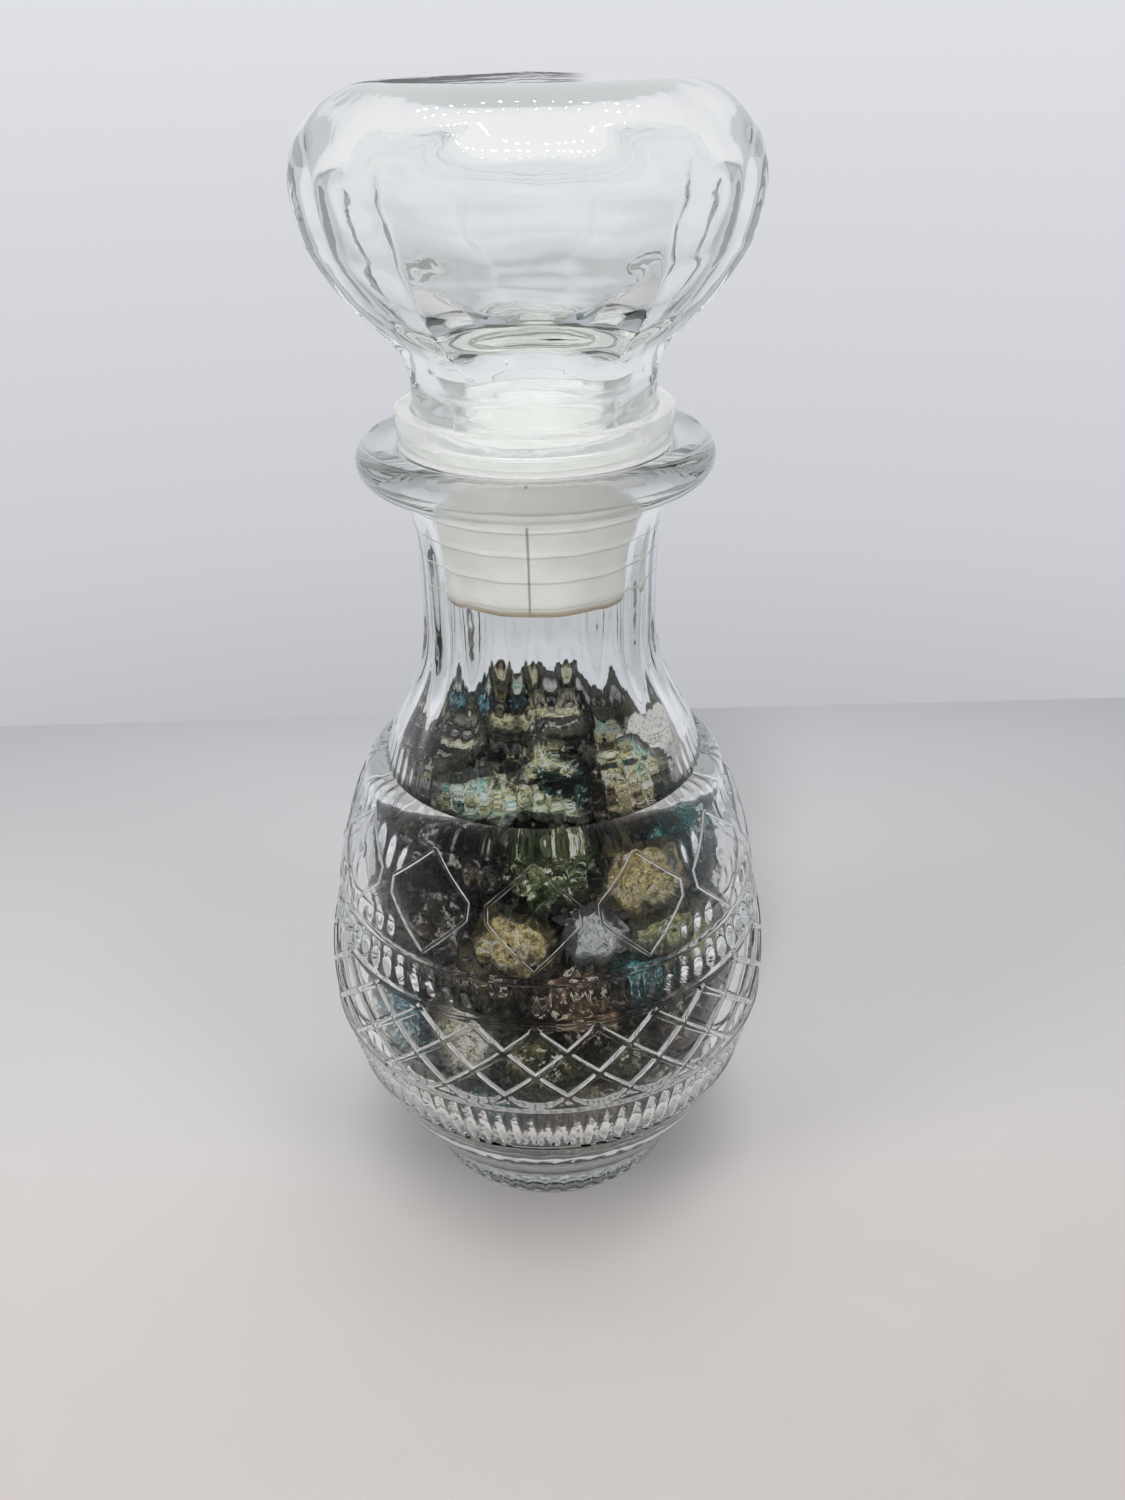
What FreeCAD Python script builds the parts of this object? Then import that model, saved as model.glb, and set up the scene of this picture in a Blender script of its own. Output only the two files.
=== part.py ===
"""Pressed-glass decanter with a six-panelled stopper in a plastic sleeve, filled with mineral stones.

Millimetres, +Z up. The origin is the middle of the foot, on the surface that the decanter stands on.
Each course of stones lists its minerals round the wall from the front (-Y) towards the right (+X).
"""
import FreeCAD
import Part
import Sketcher

import math
import os
import re

from FreeCAD import Placement, Rotation, Vector

DIMENSIONS = (
    # Decanter, outside: radii are counted in from the belly, heights up from the foot
    ("foot_radius", 26.6, "outside radius of the foot where it stands"),
    ("foot_ring_width", 5.0, "width of the ring that the foot stands on"),
    ("foot_recess", 1.5, "depth of the hollow under the foot"),
    ("foot_band_flare", 2.6, "widening of the foot band from bottom to top"),
    ("foot_band_height", 7.0, "height of the foot band"),
    ("bowl_rise", 21.2, "height from the foot band to the lower rope band"),
    ("bowl_curve", 120.0, "radius of the side of the bowl below the lower rope band"),
    ("belly_radius", 43.9, "largest radius of the decanter"),
    ("lower_rope_step", 3.6, "fall in radius from the belly to the bottom of the lower rope band"),
    ("lower_rope_width", 12.8, "height of the lower rope band"),
    ("belly_rise", 6.5, "height from the lower rope band to the largest radius"),
    ("lattice_rise", 13.0, "height from the largest radius to the upper rope band"),
    ("upper_rope_step", 2.2, "fall in radius from the belly to the bottom of the upper rope band"),
    ("upper_rope_width", 7.9, "height of the upper rope band"),
    ("upper_rope_taper", 1.3, "fall in radius across the upper rope band"),
    ("frieze_rise", 20.6, "height of the diamond frieze"),
    ("frieze_taper", 6.4, "fall in radius across the frieze"),
    ("frieze_curve", 52.0, "radius of the side of the frieze"),
    ("ledge_rise", 4.2, "height of the ledge's rounded edge"),
    ("ledge_width", 4.3, "width of the ledge's rounded edge"),
    ("shoulder_rise", 13.1, "height of the shoulder above the ledge"),
    ("shoulder_curve", 60.0, "radius of the shoulder's side"),
    ("neck_radius", 20.8, "outside radius of the neck"),
    ("neck_spread", 3.4, "widening of the neck down to the shoulder"),
    ("neck_rise", 14.7, "height over which the neck widens down to the shoulder"),
    ("neck_straight", 8.0, "height of the straight part of the neck"),
    ("flare_width", 1.3, "widening of the neck up to the lip"),
    ("flare_rise", 14.2, "height over which the neck widens up to the lip"),
    ("lip_overhang", 5.6, "reach of the lip beyond the top of the neck"),
    ("lip_rise", 2.9, "height of the hollow under the lip"),
    ("lip_curve", 6.5, "radius of the hollow under the lip"),
    ("lip_thickness", 6.4, "thickness of the lip at its edge"),
    ("lip_flatness", 0.2, "how far the lip's edge is from a half circle"),
    ("lip_dish", 0.9, "depth of the seat below the lip's edge"),
    ("lip_seat_width", 6.2, "width of the seat that the collar rests on"),
    # Decanter, inside
    ("wall", 5.0, "thickness of the glass at the belly and the bands"),
    ("base_thickness", 9.5, "thickness of the glass under the stones, from the table"),
    ("floor_radius", 17.0, "radius of the flat inside floor"),
    ("floor_curve", 26.0, "radius of the inside corner above the floor"),
    ("ledge_wall", 5.4, "thickness of the glass beside the ledge"),
    ("shoulder_wall", 4.2, "thickness of the glass at the shoulder"),
    ("inner_shoulder_curve", 45.0, "radius of the inside of the shoulder"),
    ("bore_radius", 17.3, "radius of the neck's bore"),
    ("bore_lead", 3.0, "height from the bore's lower end to the straight part of the neck"),
    # Decanter, pressed pattern
    ("flute_count", 16, "number of flutes round the neck"),
    ("flute_radius", 8.8, "radius of a flute's hollow"),
    ("flute_depth", 1.0, "depth of a flute in the neck"),
    ("flute_margin", 5.2, "height from the top of a flute to the top of the neck"),
    ("flute_foot_angle", 52.0, "turn of a flute's path at its rounded lower end"),
    ("flute_phase", -3.75, "turn of the flutes about the axis"),
    ("bead_radius", 0.6, "radius of the fine rings beside the rope bands"),
    ("lattice_count", 24, "number of raised bars that lean each way round the belly"),
    ("lattice_depth", 0.6, "depth of the sunk band that the bars cross"),
    ("lattice_margin", 1.2, "height from the sunk band to the upper rope band"),
    ("lattice_fall", 4.8, "height from the foot of the sunk band to the largest radius"),
    ("bar_radius", 0.7, "radius of a raised bar's round section"),
    ("bar_slope", 41.0, "slope of a bar where it crosses the largest radius"),
    ("bar_rise_angle", 24.6, "turn that a bar takes up above the largest radius"),
    ("bar_fall_angle", 10.4, "turn that a bar takes up below the largest radius"),
    ("bar_shift", 3.0, "turn from a crossing of two bars to each bar's place on the largest radius"),
    ("lattice_phase", -93.8, "turn of the first crossing of two bars"),
    # Sleeve
    ("collar_radius", 22.9, "outside radius of the sleeve's collar"),
    ("collar_height", 6.0, "height of the collar"),
    ("web_thickness", 2.0, "thickness of the disc across the sleeve"),
    ("plug_length", 24.8, "depth that the plug reaches into the neck"),
    ("plug_clearance", 0.1, "radial clearance of the plug's ribs in the bore"),
    ("rib_height", 0.4, "height of a rib on the plug and on the spigot"),
    ("rib_width", 1.4, "width of a rib"),
    ("rib_pitch", 4.6, "spacing of the plug's ribs"),
    ("rib_count", 5, "number of ribs on the plug"),
    ("sleeve_wall", 1.8, "thickness of the plug's and the spigot's walls"),
    ("spigot_length", 12.0, "height of the spigot above the disc"),
    ("spigot_rib_count", 2, "number of ribs on the spigot"),
    ("seat_clearance", 0.3, "radial gap round the knob's foot in the collar"),
    # Knob
    ("knob_foot_radius", 20.1, "radius of the knob's foot"),
    ("knob_foot_height", 7.4, "height of the knob's straight foot"),
    ("waist_sweep", 9.0, "radius of the hollow above the knob's foot"),
    ("waist_turn", 50.0, "turn of that hollow"),
    ("knob_radius", 36.3, "largest radius of the knob"),
    ("knob_centre_rise", 36.4, "height of the largest radius above the knob's seat"),
    ("knob_height", 51.4, "height of the knob above its seat"),
    ("knob_crown", 0.7, "rise of the knob's top"),
    ("knob_top_radius", 21.8, "radius of the knob's flat top"),
    ("throat_radius", 14.0, "radius of the opening into the knob"),
    ("throat_length", 12.8, "length of that opening"),
    ("throat_sweep", 6.0, "rise of the curve above the throat"),
    ("throat_flare", 2.8, "widening of the curve above the throat"),
    ("knob_wall", 3.7, "thickness of the knob's glass behind a panel"),
    ("knob_roof", 5.6, "thickness of the knob's glass at its top"),
    ("hollow_top_radius", 19.5, "radius of the flat top of the knob's hollow"),
    ("panel_count", 6, "number of flat panels round the knob"),
    ("panel_half_angle", 25.0, "half the turn that a panel takes up"),
    ("panel_phase", -89.2, "turn of the panels about the axis"),
    ("panel_sweep", 15.0, "radius of a panel's lower curve"),
    # Stones
    ("first_course_rise", 6.5, "height of the lowest course of stones above the inside floor"),
    ("fill_margin", 13.4, "height from the middle of the top course to the foot of the neck"),
    ("heap_rise", 6.0, "height of the top of the heap above the ledge"),
    ("stone_inset", 6.6, "distance of a course's middle from the glass"),
    ("core_share", 0.42, "radius of the inner ring as a share of the outer ring"),
    ("stone_reach", 9.2, "half the largest size of a stone"),
    ("stone_gap", 0.3, "gap between neighbouring stones"),
    ("glass_gap", 0.5, "gap between a stone and the glass"),
    ("stone_spread", 3.2, "how far a stone is shifted from its even place"),
    ("stone_weight", 7.0, "nominal radius that shares the space between stones"),
    ("trim_step", 0.1, "thinnest slice that is worth cutting off a stone"),
)

# Places that several outlines share, as formulas of the sizes
LOWER_ROPE = "(foot_band_height + bowl_rise)"
LOWER_ROPE_TOP = f"({LOWER_ROPE} + lower_rope_width)"
BELLY = f"({LOWER_ROPE_TOP} + belly_rise)"
UPPER_ROPE = f"({BELLY} + lattice_rise)"
UPPER_ROPE_TOP = f"({UPPER_ROPE} + upper_rope_width)"
FRIEZE_TOP = f"({UPPER_ROPE_TOP} + frieze_rise)"
LEDGE = f"({FRIEZE_TOP} + ledge_rise)"
SHOULDER = f"({LEDGE} + shoulder_rise)"
NECK_START = f"({SHOULDER} + neck_rise)"
NECK_END = f"({NECK_START} + neck_straight)"
FLARE_TOP = f"({NECK_END} + flare_rise)"
LIP_EDGE = f"({FLARE_TOP} + lip_rise)"
LIP_SEAT = f"({LIP_EDGE} + lip_thickness - lip_dish)"
LOWER_ROPE_RADIUS = "(belly_radius - lower_rope_step)"
UPPER_ROPE_RADIUS = "(belly_radius - upper_rope_step)"
UPPER_ROPE_TOP_RADIUS = f"({UPPER_ROPE_RADIUS} - upper_rope_taper)"
FRIEZE_TOP_RADIUS = f"({UPPER_ROPE_TOP_RADIUS} - frieze_taper)"
LEDGE_RADIUS = f"({FRIEZE_TOP_RADIUS} - ledge_width)"
SHOULDER_RADIUS = "(neck_radius + neck_spread)"
LIP_EDGE_RADIUS = "(neck_radius + flare_width + lip_overhang)"
BELLY_HEIGHT_ABOVE_ROPE = "(lower_rope_width + belly_rise)"
BELLY_CURVE = (f"((lower_rope_step^2 + {BELLY_HEIGHT_ABOVE_ROPE}^2) / (2 * lower_rope_step))")
LOWER_ROPE_TOP_RADIUS = f"(belly_radius - {BELLY_CURVE} + sqrt({BELLY_CURVE}^2 - belly_rise^2))"
PLUG_RADIUS = "(bore_radius - plug_clearance - rib_height)"
SPIGOT_RADIUS = "(throat_radius - plug_clearance - rib_height)"
KNOB_SEAT = f"({LIP_SEAT} + web_thickness)"
KNOB_WAIST = f"({KNOB_SEAT} + knob_foot_height)"
KNOB_CENTRE = f"({KNOB_SEAT} + knob_centre_rise)"
PANEL_RADIUS = "(knob_radius * cos(panel_half_angle))"

# Each course of stones, from the bottom: the minerals round the glass, those of the inner ring, and
# the turn of the first one from the front, in degrees
COURSES = (
    ("galena basalt jasper olivine basalt galena pyrite basalt galena jasper olivine basalt",
     "basalt galena jasper", 3.0),
    ("basalt olivine galena jasper basalt serpentine galena basalt jasper olivine galena basalt "
     "malachite jasper galena", "galena basalt olivine", 10.0),
    ("chrysocolla basalt galena jasper calcite galena basalt pyrite chrysocolla basalt galena "
     "jasper basalt galena chrysocolla basalt", "basalt galena jasper calcite", -14.0),
    ("olivine malachite galena basalt jasper olivine galena basalt calcite malachite galena "
     "basalt olivine galena azurite calcite", "galena basalt olivine galena", -6.0),
    ("basalt jasper chrysocolla serpentine galena basalt feldspar chrysocolla galena jasper "
     "basalt feldspar galena basalt galena", "basalt galena jasper feldspar", -20.0),
    ("pyrite amazonite serpentine chrysocolla basalt galena malachite pyrite amazonite "
     "galena basalt galena galena galena", "galena pyrite basalt", -13.0),
    ("malachite pyrite chrysocolla galena basalt jasper galena olivine basalt galena galena "
     "galena", "basalt galena olivine", 4.0),
    ("turquoise turquoise basalt feldspar olivine amazonite pyrite azurite olivine galena",
     "galena", -36.0),
)
CHOPS = 7
CHOP_SHARE = 0.80
CHOP_SPREAD = 0.10
TRIMS = 90
SLOPE_STEP = 15
WALL_SAMPLES = 7
TINY = 1e-4

doc = FreeCAD.newDocument("decanter")
sizes = doc.addObject("Spreadsheet::Sheet", "sizes")


def fill_sheet():
    """Write each driving dimension, its alias and its meaning into one row of the sheet."""
    for row, (alias, value, meaning) in enumerate(DIMENSIONS, start=1):
        sizes.set(f"A{row}", alias)
        sizes.set(f"B{row}", str(value))
        sizes.setAlias(f"B{row}", alias)
        sizes.set(f"C{row}", meaning)
    doc.recompute()


def size(alias):
    """The value of a driving dimension."""
    return float(getattr(sizes, alias))


def in_sheet(formula):
    """A formula of bare aliases, as an expression that names the sheet."""
    return re.sub(r"[a-z]+_[a-z_]+|wall", lambda word: "sizes." + word.group(), formula)


def worked_out(formula):
    """The value of a formula of bare aliases."""
    return float(sizes.evalExpression(in_sheet(formula)))


def plane(body, role):
    """One of a body's own origin planes or axes."""
    return next(item for item in body.Origin.OriginFeatures if item.Role == role)


def new_sketch(body, name, role="XZ_Plane", turn=None):
    """A sketch on an origin plane of a body, turned about the axis by the size named turn."""
    sketch = body.newObject("Sketcher::SketchObject", name)
    sketch.AttachmentSupport = [(plane(body, role), "")]
    sketch.MapMode = "FlatFace"
    if turn:
        upright = Vector(0, 1, 0) if role == "XZ_Plane" else Vector(0, 0, 1)
        sketch.AttachmentOffset = Placement(Vector(), Rotation(upright, size(turn)))
        sketch.setExpression("AttachmentOffset.Rotation.Angle", f"sizes.{turn} * 1deg")
    return sketch


def arc_centre(start, end, kind, radius):
    """The centre of an arc from start to end.

    left and right give it a radius and the side of its centre. level_start, level_end, plumb_start
    and plumb_end put the centre level with, or straight above or below, that end.
    """
    chord = end - start
    if kind in ("left", "right"):
        side = Vector(-chord.y, chord.x, 0).normalize()
        offset = math.sqrt(radius ** 2 - chord.Length ** 2 / 4)
        return (start + end) / 2 + side * (offset if kind == "left" else -offset)
    fixed, other = (start, end) if kind.endswith("start") else (end, start)
    across = other - fixed
    if kind.startswith("level"):
        return fixed + Vector(across.Length ** 2 / (2 * across.x), 0, 0)
    return fixed + Vector(0, across.Length ** 2 / (2 * across.y), 0)


def draw_edge(sketch, start, end, kind, radius):
    """Draw one edge of an outline and say which of its ends is its start and which its end."""
    if kind == "line":
        return sketch.addGeometry(Part.LineSegment(start, end)), 1, 2
    centre = arc_centre(start, end, kind, radius)
    spin = (start - centre).cross(end - centre).z
    first, last = (start, end) if spin > 0 else (end, start)
    angles = [math.atan2(point.y - centre.y, point.x - centre.x) for point in (first, last)]
    circle = Part.Circle(centre, Vector(0, 0, 1), (start - centre).Length)
    edge = sketch.addGeometry(Part.ArcOfCircle(circle, *angles))
    return (edge, 1, 2) if spin > 0 else (edge, 2, 1)


def tie(sketch, kind, edge, end, formula):
    """Hold one coordinate of a point, or the radius of an arc, at a formula of the sizes."""
    value = worked_out(formula)
    if kind == "Radius":
        number = sketch.addConstraint(Sketcher.Constraint(kind, edge, value))
    else:
        number = sketch.addConstraint(Sketcher.Constraint(kind, -1, 1, edge, end, value))
    sketch.setExpression(f"Constraints[{number}]", in_sheet(formula))


def outline(sketch, corners, closed=True):
    """Draw an outline whose corners are (across, up, edge to the next corner, its radius)."""
    points = [Vector(worked_out(across), worked_out(up), 0) for across, up, *_ in corners]
    count = len(corners) if closed else len(corners) - 1
    edges = []
    for number in range(count):
        kind, *radius = corners[number][2:]
        end = points[(number + 1) % len(points)]
        value = worked_out(radius[0]) if radius else None
        edge, first, last = draw_edge(sketch, points[number], end, kind, value)
        edges.append((edge, first, last))
        if radius:
            tie(sketch, "Radius", edge, None, radius[0])
    for number, (edge, first, last) in enumerate(edges):
        hold_corner(sketch, edge, first, corners[number])
        if number + 1 < count or closed:
            following, begins, _ = edges[(number + 1) % count]
            sketch.addConstraint(Sketcher.Constraint("Coincident", edge, last, following, begins))
        hold_centre(sketch, edge, first, last, corners[number][2])
    if not closed:
        hold_corner(sketch, edges[-1][0], edges[-1][2], corners[-1])
    return sketch


def hold_corner(sketch, edge, end, corner):
    """Fix a corner of an outline; one on the axis, or on the floor, is tied to that line."""
    across, up = corner[:2]
    if across == "0":
        sketch.addConstraint(Sketcher.Constraint("PointOnObject", edge, end, -2))
    else:
        tie(sketch, "DistanceX", edge, end, across)
    if up == "0":
        sketch.addConstraint(Sketcher.Constraint("PointOnObject", edge, end, -1))
    else:
        tie(sketch, "DistanceY", edge, end, up)


def hold_centre(sketch, edge, first, last, kind):
    """Keep an arc's centre level with, or plumb to, the end that its kind names."""
    if kind.startswith(("level", "plumb")):
        rule = "Horizontal" if kind.startswith("level") else "Vertical"
        end = first if kind.endswith("start") else last
        sketch.addConstraint(Sketcher.Constraint(rule, edge, 3, edge, end))


def turned(body, kind, sketch):
    """A full turn of a sketch about the body's axis, added as a Revolution or cut as a Groove."""
    feature = body.newObject(f"PartDesign::{kind}", sketch.Name.replace("outline", "turn"))
    feature.Profile = sketch
    feature.ReferenceAxis = (plane(body, "Z_Axis"), [""])
    feature.Angle = 360
    return feature


def round_pattern(body, feature, count):
    """Repeat a feature round the axis as many times as the size named count."""
    pattern = body.newObject("PartDesign::PolarPattern", feature.Name + "_ring")
    pattern.Originals = [feature]
    pattern.Axis = (plane(body, "Z_Axis"), [""])
    pattern.Angle = 360
    pattern.Occurrences = round(size(count))
    pattern.setExpression("Occurrences", in_sheet(count))
    body.Tip = pattern
    return pattern


def upward_pattern(body, feature, count, length):
    """Repeat a feature up the axis, so that the copies span the length that a formula gives."""
    pattern = body.newObject("PartDesign::LinearPattern", feature.Name + "_row")
    pattern.Originals = [feature]
    pattern.Direction = (plane(body, "Z_Axis"), [""])
    pattern.Length = worked_out(length)
    pattern.Occurrences = round(size(count))
    pattern.setExpression("Length", in_sheet(length))
    pattern.setExpression("Occurrences", in_sheet(count))
    body.Tip = pattern
    return pattern


def make_glass():
    """The decanter: one piece of pressed glass with a fluted neck, a wide lip and a hollow foot."""
    body = doc.addObject("PartDesign::Body", "decanter_glass")
    outside = outline(new_sketch(body, "glass_outline"), [
        ("0", "foot_recess", "line"),
        ("foot_radius - foot_ring_width", "foot_recess", "line"),
        ("foot_radius - foot_ring_width", "0", "line"),
        ("foot_radius", "0", "line"),
        ("foot_radius + foot_band_flare", "foot_band_height", "left", "bowl_curve"),
        (LOWER_ROPE_RADIUS, LOWER_ROPE, "level_end"),
        ("belly_radius", BELLY, "level_start"),
        (UPPER_ROPE_RADIUS, UPPER_ROPE, "line"),
        (UPPER_ROPE_TOP_RADIUS, UPPER_ROPE_TOP, "left", "frieze_curve"),
        (FRIEZE_TOP_RADIUS, FRIEZE_TOP, "level_start"),
        (LEDGE_RADIUS, LEDGE, "left", "shoulder_curve"),
        (SHOULDER_RADIUS, SHOULDER, "level_end"),
        ("neck_radius", NECK_START, "line"),
        ("neck_radius", NECK_END, "level_start"),
        ("neck_radius + flare_width", FLARE_TOP, "right", "lip_curve"),
        (LIP_EDGE_RADIUS, LIP_EDGE, "left", "lip_thickness / 2 + lip_flatness"),
        (LIP_EDGE_RADIUS, f"{LIP_EDGE} + lip_thickness", "line"),
        ("bore_radius + lip_seat_width", LIP_SEAT, "line"),
        ("0", LIP_SEAT, "line"),
    ])
    turned(body, "Revolution", outside)
    cavity = outline(new_sketch(body, "cavity_outline"), [
        ("0", "base_thickness", "line"),
        ("floor_radius", "base_thickness", "left", "floor_curve"),
        (f"{LOWER_ROPE_RADIUS} - wall", LOWER_ROPE, "level_end"),
        ("belly_radius - wall", BELLY, "level_start"),
        (f"{UPPER_ROPE_RADIUS} - wall", UPPER_ROPE, "line"),
        (f"{UPPER_ROPE_TOP_RADIUS} - wall", UPPER_ROPE_TOP, "left", "inner_shoulder_curve"),
        (f"{FRIEZE_TOP_RADIUS} - ledge_wall", FRIEZE_TOP, "left", "shoulder_curve"),
        (f"{SHOULDER_RADIUS} - shoulder_wall", SHOULDER, "level_end"),
        ("bore_radius", f"{NECK_START} - bore_lead", "line"),
        ("bore_radius", f"{LIP_SEAT} + wall", "line"),
        ("0", f"{LIP_SEAT} + wall", "line"),
    ])
    turned(body, "Groove", cavity)
    for name, radius, height in (
            ("bead_one", LOWER_ROPE_RADIUS, LOWER_ROPE),
            ("bead_two", LOWER_ROPE_TOP_RADIUS, LOWER_ROPE_TOP),
            ("bead_three", UPPER_ROPE_RADIUS, UPPER_ROPE),
            ("bead_four", UPPER_ROPE_TOP_RADIUS, UPPER_ROPE_TOP)):
        add_bead(body, name, radius, height)
    raise_lattice(body)
    cut_flutes(body)
    return body, cavity


def add_bead(body, name, radius, height):
    """A fine raised ring round the glass, half sunk into it."""
    section = new_sketch(body, name + "_outline")
    middle = Vector(worked_out(radius), worked_out(height), 0)
    edge = section.addGeometry(Part.Circle(middle, Vector(0, 0, 1), size("bead_radius")))
    tie(section, "Radius", edge, None, "bead_radius")
    tie(section, "DistanceX", edge, 3, radius)
    tie(section, "DistanceY", edge, 3, height)
    turned(body, "Revolution", section)


def raise_lattice(body):
    """A shallow band sunk round the belly, and two sets of leaning bars that cross on it."""
    low, high = f"({BELLY} - lattice_fall)", f"({UPPER_ROPE} - lattice_margin)"
    curve = "((upper_rope_step^2 + lattice_rise^2) / (2 * upper_rope_step))"
    sunk_radius = "(belly_radius - lattice_depth)"
    band = outline(new_sketch(body, "lattice_outline"), [
        ("belly_radius + bar_radius", low, "line"),
        (f"{sunk_radius} - {BELLY_CURVE} + sqrt({BELLY_CURVE}^2 - lattice_fall^2)", low,
         "level_end"),
        (sunk_radius, BELLY, "level_start"),
        (f"{sunk_radius} - {curve} + sqrt({curve}^2 - (lattice_rise - lattice_margin)^2)", high,
         "line"),
        ("belly_radius + bar_radius", high, "line"),
    ])
    turned(body, "Groove", band)
    add_bars(body, "bar_right", "1", "rise", "fall")
    add_bars(body, "bar_left", "-1", "fall", "rise")


def add_bars(body, name, lean, first, second):
    """A ring of round bars; each runs on a slanting circle round the middle of the belly."""
    section = body.newObject("Sketcher::SketchObject", name + "_section")
    section.AttachmentSupport = [(plane(body, "XY_Plane"), "")]
    section.MapMode = "FlatFace"
    place = (f"placement(vector(0; 0; {BELLY}); rotation(lattice_phase - {lean} * bar_shift; 0;"
             f" 90 + {lean} * bar_slope))")
    section.setExpression("AttachmentOffset", in_sheet(place))
    reach = "(belly_radius - bar_radius)"
    edge = section.addGeometry(Part.Circle(Vector(worked_out(reach), 0, 0), Vector(0, 0, 1),
                                           size("bar_radius")))
    section.addConstraint(Sketcher.Constraint("PointOnObject", edge, 3, -1))
    tie(section, "Radius", edge, None, "bar_radius")
    tie(section, "DistanceX", edge, 3, reach)
    doc.recompute()
    bar = body.newObject("PartDesign::Revolution", name)
    bar.Profile = section
    bar.ReferenceAxis = (section, ["V_Axis"])
    bar.Type = "TwoAngles"
    bar.setExpression("Angle", f"sizes.bar_{first}_angle * 1deg")
    bar.setExpression("Angle2", f"sizes.bar_{second}_angle * 1deg")
    doc.recompute()
    round_pattern(body, bar, "lattice_count")


def cut_flutes(body):
    """Hollow flutes down the neck, each with a rounded lower end on the shoulder."""
    offset = "(flute_radius - flute_depth)"
    path_curve = f"((neck_spread^2 + neck_rise^2) / (2 * neck_spread) - {offset})"
    path_radius = f"(neck_radius + {offset})"
    flute_top = f"({FLARE_TOP} - flute_margin)"
    path = outline(new_sketch(body, "flute_path", turn="flute_phase"), [
        (f"{path_radius} + {path_curve} * (1 - cos(flute_foot_angle))",
         f"{NECK_START} - {path_curve} * sin(flute_foot_angle)", "level_end"),
        (path_radius, NECK_START, "line"),
        (path_radius, flute_top),
    ], closed=False)
    section = new_sketch(body, "flute_section", "XY_Plane", "flute_phase")
    section.setExpression("AttachmentOffset.Base.z", in_sheet(flute_top))
    circle = Part.Circle(Vector(worked_out(path_radius), 0, 0), Vector(0, 0, 1),
                         size("flute_radius"))
    edge = section.addGeometry(circle)
    section.addConstraint(Sketcher.Constraint("PointOnObject", edge, 3, -1))
    tie(section, "Radius", edge, None, "flute_radius")
    tie(section, "DistanceX", edge, 3, path_radius)
    doc.recompute()
    flute = body.newObject("PartDesign::SubtractivePipe", "flute")
    flute.Profile = section
    flute.Spine = (path, [])
    doc.recompute()
    round_pattern(body, flute, "flute_count")


def make_sleeve():
    """The plastic sleeve: a collar on the lip, a ribbed plug in the neck, a spigot in the knob."""
    body = doc.addObject("PartDesign::Body", "stopper_sleeve")
    section = outline(new_sketch(body, "sleeve_outline"), [
        (f"{PLUG_RADIUS} - sleeve_wall", f"{LIP_SEAT} - plug_length", "line"),
        (PLUG_RADIUS, f"{LIP_SEAT} - plug_length", "line"),
        (PLUG_RADIUS, LIP_SEAT, "line"),
        ("collar_radius", LIP_SEAT, "line"),
        ("collar_radius", f"{LIP_SEAT} + collar_height", "line"),
        ("knob_foot_radius + seat_clearance", f"{LIP_SEAT} + collar_height", "line"),
        ("knob_foot_radius + seat_clearance", KNOB_SEAT, "line"),
        (SPIGOT_RADIUS, KNOB_SEAT, "line"),
        (SPIGOT_RADIUS, f"{KNOB_SEAT} + spigot_length", "line"),
        (f"{SPIGOT_RADIUS} - sleeve_wall", f"{KNOB_SEAT} + spigot_length", "line"),
        (f"{SPIGOT_RADIUS} - sleeve_wall", KNOB_SEAT, "line"),
        ("0", KNOB_SEAT, "line"),
        ("0", LIP_SEAT, "line"),
        (f"{PLUG_RADIUS} - sleeve_wall", LIP_SEAT, "line"),
    ])
    turned(body, "Revolution", section)
    rib_ring(body, "plug_rib_outline", PLUG_RADIUS,
             f"{LIP_SEAT} - plug_length + rib_width", "rib_count")
    rib_ring(body, "spigot_rib_outline", SPIGOT_RADIUS,
             f"{KNOB_SEAT} + spigot_length - 2 * rib_pitch", "spigot_rib_count")
    return body


def rib_ring(body, name, wall, height, count):
    """Rings of rounded-off ribs on a wall of the sleeve, the lowest at the height given."""
    section = outline(new_sketch(body, name), [
        (f"{wall} - rib_height", height, "line"),
        (wall, height, "line"),
        (f"{wall} + rib_height", f"{height} + rib_width / 3", "line"),
        (f"{wall} + rib_height", f"{height} + rib_width * 2 / 3", "line"),
        (wall, f"{height} + rib_width", "line"),
        (f"{wall} - rib_height", f"{height} + rib_width", "line"),
    ])
    rib = turned(body, "Revolution", section)
    doc.recompute()
    upward_pattern(body, rib, count, f"rib_pitch * ({count} - 1)")


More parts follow.
